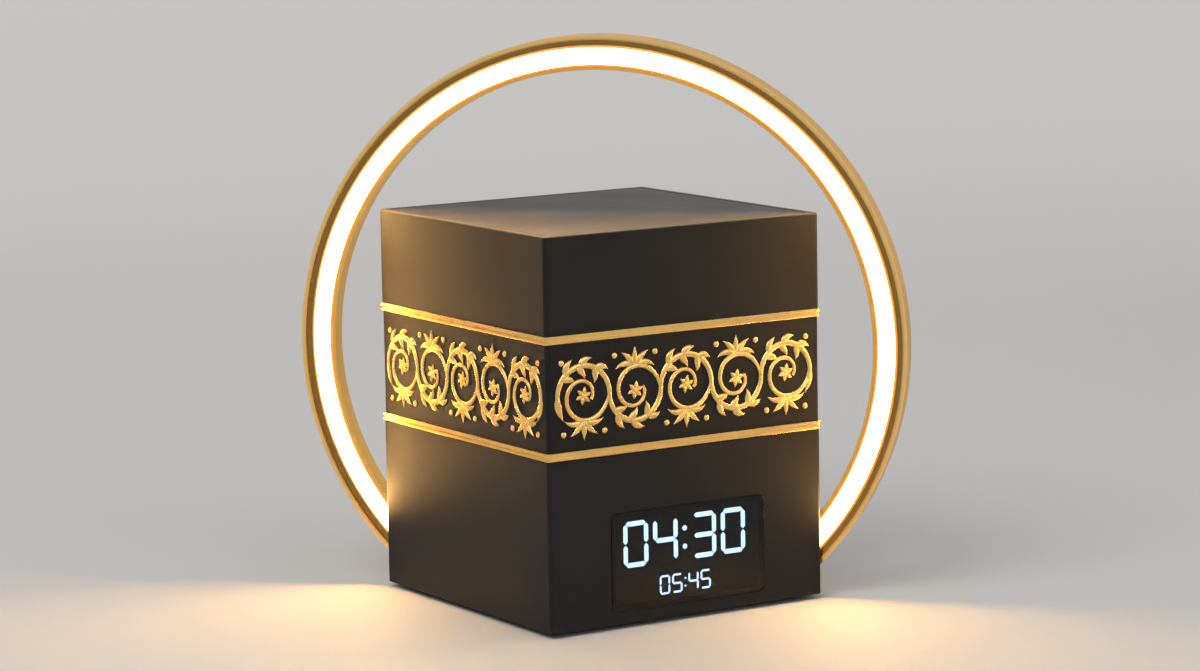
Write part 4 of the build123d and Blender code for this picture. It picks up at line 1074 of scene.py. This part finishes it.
@dataclass
class DisplayUnit(SubAssembly):
    """The dark window and the two rows of segments behind it."""

    base: float = 47.3 * MM           # segments' back, from the axis
    proud: float = 0.1 * MM
    bevel: float = 0.4                # of a segment's edge, as a share of proud
    middle: float = 20.6 * MM         # window's middle height
    digit_height: float = 14.3 * MM
    digit_width: float = 9.0 * MM
    pitch: float = 10.8 * MM
    stroke: float = 1.5 * MM
    play: float = 0.3 * MM            # gap between two bars
    pair_gap: float = 5.2 * MM
    dot: float = 0.55                 # a colon dot's radius, as a share of a bar's width
    dot_level: float = 0.2            # its height over the row's middle, as a share of a digit's
    rise: float = 4.7 * MM            # large row's middle, over the window's
    small_scale: float = 0.42
    small_drop: float = 9.3 * MM      # small row's middle, under the window's
    time: str = "0430"
    small_time: str = "0545"

    BARS = {"0": "abcdef", "1": "bc", "2": "abdeg", "3": "abcdg", "4": "bcfg", "5": "acdfg", "6": "acdefg",
            "7": "abc", "8": "abcdefg", "9": "abcdfg"}
    # a bar's place: half digits across and up from the middle, and whether it is upright
    PLACES = {"a": (0, 1, False), "g": (0, 0, False), "d": (0, -1, False), "b": (1, 0.5, True),
              "c": (1, -0.5, True), "e": (-1, -0.5, True), "f": (-1, 0.5, True)}

    def bar(self, middle: Vector, length: float, stroke: float, upright: bool) -> list[Pair]:
        """Gives the outline of a bar that is pointed at both ends.

        Args:
            middle: its middle.
            length: from point to point.
            stroke: its width.
            upright: whether it stands.

        Returns:
            Its corners, anticlockwise.
        """
        half, side = length / 2, stroke / 2
        outline = [(-half, 0), (-half + side, -side), (half - side, -side), (half, 0), (half - side, side),
                   (-half + side, side)]
        if upright:
            outline = [(-y, x) for x, y in outline]
        return [(middle.x + x, middle.y + y) for x, y in outline]

    def row(self, lit: Surface, dark: Surface, digits: str, scale: float, middle: float) -> None:
        """Adds a row of four digits with a colon between its two pairs.

        Args:
            lit: surface of the lit bars.
            dark: surface of the others.
            digits: what the row shows.
            scale: the row's size as a share of the large one.
            middle: height of the row's middle over the window's.
        """
        height, width, stroke = self.digit_height * scale, self.digit_width * scale, self.stroke * scale
        across, upright = width - stroke, (height - stroke) / 2
        inner = (self.pair_gap * scale + width) / 2
        pitch, play = self.pitch * scale, self.play * scale
        bevel = self.proud * self.bevel
        for digit, x in zip(digits, (-inner - pitch, -inner, inner, inner + pitch)):
            for name, (side, level, standing) in self.PLACES.items():
                at = Vector((x + side * across / 2, middle + level * upright))
                length = (upright if standing else across) - play
                surface = lit if name in self.BARS[digit] else dark
                surface.prism(self.bar(at, length, stroke, standing), 0.0, self.proud, bevel)
        for side in (-1, 1):
            at = Vector((0, middle + side * height * self.dot_level))
            lit.prism(disc(at, stroke * self.dot, sides=20), 0.0, self.proud, bevel)

    def build(self) -> None:
        """Builds the lit and the dark segments in place of the plain ones."""
        lit, dark = Surface(), Surface()
        self.row(lit, dark, self.time, 1.0, self.rise)
        self.row(lit, dark, self.small_time, self.small_scale, -self.small_drop)
        place = Side.FRONT.place(self.base) @ Matrix.Translation((0, self.middle, 0))
        shown = lit.piece("segments_lit", place, LIT, "housing", "display_segments")
        hidden = dark.piece("segments_dark", place, DARK, "housing", "display_segments")
        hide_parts("display_segments")
        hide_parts("display_segments")

    def dress(self) -> None:
        """Gives the window, module and board their finishes."""
        paint(("display_window",), PANE)
        paint(("display_module",), SCREEN)
        paint(("display_board",), BOARD)
        paint(("display_board_screws",), STEEL)
        paint(("ribbon_connectors",), CONNECTOR)
        paint(("display_ribbon",), RIBBON)


@dataclass
class RingLight(SubAssembly):
    """The gold channel that stands behind the diagonal, its LEDs and its diffuser."""

    height: float = 79.0 * MM         # centre over the floor
    middle: float = 91.35 * MM        # radius of the diffuser's middle line
    half_face: float = 3.3 * MM       # half the diffuser's width
    led_rhythm: float = 55.2          # LEDs in a full turn of the ring
    step_inner: float = 94.8 * MM     # step in the channel's front face, beside the diffuser
    step_outer: float = 96.5 * MM
    outer: float = 98.0 * MM
    front: float = 2.0 * MM           # channel's front, behind the housing's diagonal

    def plane(self, recipe: Recipe) -> tuple[Socket, Socket, Socket]:
        """Gives a point's place by the ring.

        Args:
            recipe: the node tree that needs it.

        Returns:
            The sockets of its distances along the diagonal, over the ring's centre and behind the
            diagonal, in metres.
        """
        x, y, z = recipe.node("ShaderNodeSeparateXYZ", in0=recipe.place).outputs
        along = recipe.maths("MULTIPLY", recipe.maths("SUBTRACT", x, y), math.sqrt(0.5))
        behind = recipe.maths("MULTIPLY", recipe.maths("ADD", x, y), math.sqrt(0.5))
        return along, recipe.maths("SUBTRACT", z, self.height), behind

    def across(self, recipe: Recipe) -> tuple[Socket, Socket]:
        """Gives a point's distance from the ring's axis, and its distance along that axis.

        Args:
            recipe: the node tree that needs them.

        Returns:
            The sockets of the two distances, in metres.
        """
        along, level, behind = self.plane(recipe)
        square = recipe.maths("ADD", recipe.maths("MULTIPLY", along, along),
                              recipe.maths("MULTIPLY", level, level))
        return recipe.maths("SQRT", square), behind

    def turn(self, recipe: Recipe) -> Socket:
        """Gives a point's angle round the ring's axis, in radians."""
        along, level, _ = self.plane(recipe)
        return recipe.maths("ARCTAN2", level, along)

    def dress(self) -> None:
        """Gives the channel, diffuser, board and LEDs their finishes."""
        paint(("ring_channel",), RING_GOLD)
        paint(("ring_diffuser",), DIFFUSER)
        paint(("ring_led_board",), BOARD)
        paint(("ring_leds",), LED)


@dataclass
class RearControls(SubAssembly):
    """The keys, slide knob, inlet and reset switch on the main board behind the rear wall."""

    key_face: float = 51.0 * MM       # keys' outer face, from the axis
    row: float = 40.0 * MM            # keys' height
    mark: float = 0.1 * MM            # a sign's height over its key
    sunk: float = 0.05 * MM           # its depth in the key
    size: float = 1.5 * MM            # half a sign's height
    chamfer: float = 0.03 * MM

    def sign(self, icon: Icon) -> Surface:
        """Gives the surface of a key's sign, centred on the key. Its outlines are in half heights.

        Args:
            icon: which sign.

        Returns:
            The surface, with across, up and out as its coordinates.
        """
        surface = Surface()

        def raise_up(outline: Sequence[Pair], chamfer: float = self.chamfer) -> None:
            """Adds an outline, at its size, as a raised part of the sign."""
            points = [(x * self.size, y * self.size) for x, y in outline]
            surface.prism(points, -self.sunk, self.mark, chamfer)

        if icon is Icon.BARS:
            for level in (-0.7, 0.0, 0.7):
                raise_up(rectangle(-1, 1, level - 0.16, level + 0.16))
        elif icon is Icon.SUN:
            raise_up(disc(Vector((0, 0)), 0.42, sides=24))
            for i in range(8):
                turn = Matrix.Rotation(math.tau * i / 8, 2)
                ray = [turn @ Vector(p) for p in rectangle(0.62, 1, -0.09, 0.09)]
                raise_up([tuple(p) for p in ray], 0.02 * MM)
        else:
            wedge = [(-0.75, -0.8), (0.55, 0.0), (-0.75, 0.8)]
            for outline in (wedge, rectangle(0.62, 0.88, -0.8, 0.8)):
                if icon is Icon.BACK:
                    outline = [(-x, y) for x, y in reversed(outline)]
                raise_up(outline)
        return surface

    def build(self) -> None:
        """Puts each key's sign on it."""
        for icon in Icon:
            low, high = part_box(f"{icon.value}_button")
            across = Matrix.Translation((-(low.x + high.x) / 2, self.row, 0))
            place = Side.REAR.place(self.key_face) @ across
            self.sign(icon).piece(f"{icon.value}_mark", place, MARK, f"{icon.value}_key", "plunger_white")

    def dress(self) -> None:
        """Gives the keys, switches and boards their finishes."""
        keys = [icon.value for icon in Icon]
        paint([f"{key}_button" for key in keys] + ["power_knob"], KEY_PLASTIC)
        switches = [f"{key}_switch" for key in keys] + ["power_switch", "reset_switch"]
        paint(switches + ["inlet_tongue", "board_chips"], CHIP)
        paint([f"{key}_plunger" for key in keys], PLUNGER)
        paint(("main_board",), BOARD)
        paint(("main_board_screws",), STEEL)
        paint(("inlet_shell", "coin_cell"), NICKEL)
        paint(("coin_holder",), CONNECTOR)


@dataclass
class Loudspeaker(SubAssembly):
    """The loudspeaker behind the holes in the right wall."""

    def dress(self) -> None:
        """Gives the loudspeaker's parts their finishes."""
        paint(("speaker_gasket",), FOAM)
        paint(("speaker_basket", "speaker_screws"), STEEL)
        paint(("speaker_magnet",), FERRITE)
        paint(("speaker_cone",), CONE_PAPER)
        paint(("speaker_surround",), RUBBER)


@dataclass
class PowerCell(SubAssembly):
    """The rechargeable cell in its cradle, and the leads."""

    def dress(self) -> None:
        """Gives the cell, cradle and leads their finishes."""
        paint(("battery_cell",), CELL_WRAP)
        paint(("cell_cradle",), CONNECTOR)
        paint(("cradle_screws",), STEEL)
        paint(("inner_leads",), LEAD)


@dataclass(frozen=True)
class SoftLamp:
    """A square soft lamp."""

    name: str
    place: Triple
    size: float                       # its side in metres
    power: float                      # in watts
    colour: Colour

    def hang(self, target: Triple) -> None:
        """Hangs the lamp in the studio.

        Args:
            target: the point that it faces.
        """
        light = bpy.data.lights.new(self.name, "AREA")
        light.size, light.energy, light.color = self.size, self.power, self.colour
        made = bpy.data.objects.new(self.name, light)
        made.location = self.place
        made.rotation_euler = (Vector(target) - Vector(self.place)).to_track_quat("-Z", "Y").to_euler()
        bpy.context.scene.collection.objects.link(made)
        LOG.info("%s lamp: %g W", self.name, self.power)


@dataclass
class Studio(SubAssembly):
    """The floor, the lamps and the camera."""

    azimuth: float = -32.3            # degrees, from the front towards the left
    elevation: float = 8.3
    tilt: float = -1.0                # degrees, of the camera about its own line of sight
    distance: float = 1.25            # metres, from the camera to the target
    target: Triple = (0.002, 0.002, 0.082)
    frame_height: float = 0.212       # what the picture's height takes in at the target
    aspect: float = 1200 / 671
    sensor: float = 36.0              # mm
    reach: float = 9.0                # of the floor, to each side and behind the camera
    bend_from: float = 0.9            # where the floor starts to curve up, behind the clock
    bend: float = 0.8                 # radius of that curve
    wall: float = 5.0                 # height of the backdrop
    sky_colour: Colour = (0.95, 0.96, 1.0)
    sky_strength: float = 0.48

    LAMPS = (SoftLamp("key", (-1.1, -0.5, 1.3), size=0.9, power=9.5, colour=(1.0, 0.97, 0.93)),
             SoftLamp("front_fill", (0.5, -1.5, 0.8), size=1.0, power=4.0, colour=(0.95, 0.97, 1.0)),
             SoftLamp("back", (0.4, 1.1, 1.5), size=0.8, power=5.6, colour=(1.0, 0.98, 0.96)))

    def floor(self) -> None:
        """Makes a floor that curves up into a backdrop behind the object."""
        away = Matrix.Rotation(math.radians(self.azimuth), 4, "Z")
        steps = 18
        profile = [(-self.reach, 0.0), (self.bend_from, 0.0)]
        for i in range(1, steps + 1):
            turn = math.radians(90 * i / steps)
            out, rise = self.bend * math.sin(turn), self.bend - self.bend * math.cos(turn)
            profile.append((self.bend_from + out, rise))
        profile.append((self.bend_from + self.bend, self.wall))
        count = len(profile)
        surface = Surface()
        surface.add([(x, y, z) for x in (-self.reach, self.reach) for y, z in profile],
                    [(i, i + 1, count + i + 1, count + i) for i in range(count - 1)])
        mesh = bpy.data.meshes.new("floor")
        mesh.from_pydata([away @ p for p in surface.points], [], surface.faces)
        mesh.materials.append(PAPER.material())
        mesh.shade_smooth()
        sweep = bpy.data.objects.new("floor", mesh)
        bpy.context.scene.collection.objects.link(sweep)
        LOG.info("floor: %d points", len(surface.points))

    def sky(self) -> None:
        """Makes the even pale surroundings."""
        world = bpy.data.worlds.new("surroundings")
        world.use_nodes = True
        tree = world.node_tree
        lit = tree.nodes["Background"]
        lit.inputs["Color"].default_value = (*self.sky_colour, 1.0)
        lit.inputs["Strength"].default_value = self.sky_strength
        seen = tree.nodes.new("ShaderNodeBackground")
        seen.inputs["Color"].default_value = (*PAPER.colour, 1.0)
        seen.inputs["Strength"].default_value = PAPER.far_tone
        either = tree.nodes.new("ShaderNodeMixShader")
        tree.links.new(looked_at(tree), either.inputs[0])
        tree.links.new(lit.outputs[0], either.inputs[1])
        tree.links.new(seen.outputs[0], either.inputs[2])
        tree.links.new(either.outputs[0], tree.nodes["World Output"].inputs["Surface"])
        bpy.context.scene.world = world

    def camera(self) -> None:
        """Stands the camera at its azimuth and elevation, with the clock filling the picture."""
        data = bpy.data.cameras.new("camera")
        turn, lift = math.radians(self.azimuth), math.radians(self.elevation)
        away = Vector((math.sin(turn) * math.cos(lift), -math.cos(turn) * math.cos(lift), math.sin(lift)))
        made = bpy.data.objects.new("camera", data)
        made.location = Vector(self.target) + away * self.distance
        level = (-away).to_track_quat("-Z", "Y").to_matrix()
        made.rotation_euler = (level @ Matrix.Rotation(math.radians(self.tilt), 3, "Z")).to_euler()
        data.sensor_width = self.sensor
        data.lens = data.sensor_width * self.distance / (self.frame_height * self.aspect)
        data.clip_start = 0.05
        bpy.context.scene.collection.objects.link(made)
        bpy.context.scene.camera = made
        LOG.info("camera: %.0f mm lens", data.lens)

    def build(self) -> None:
        """Builds the floor, lamps, surroundings and camera."""
        self.floor()
        self.sky()
        for lamp in self.LAMPS:
            lamp.hang(self.target)
        self.camera()
        bpy.context.scene.view_settings.view_transform = "Standard"


def main() -> None:
    """Builds and dresses the sub-assemblies in order."""
    logging.basicConfig(level=logging.INFO, format="%(message)s")
    for part in (Housing(), TapPlate(), ReliefBand(), DisplayUnit(), RingLight(), RearControls(),
                 Loudspeaker(), PowerCell(), Studio()):
        part.build()
        part.dress()
        LOG.info("%s is ready", type(part).__name__)


if __name__ == "__main__":
    main()
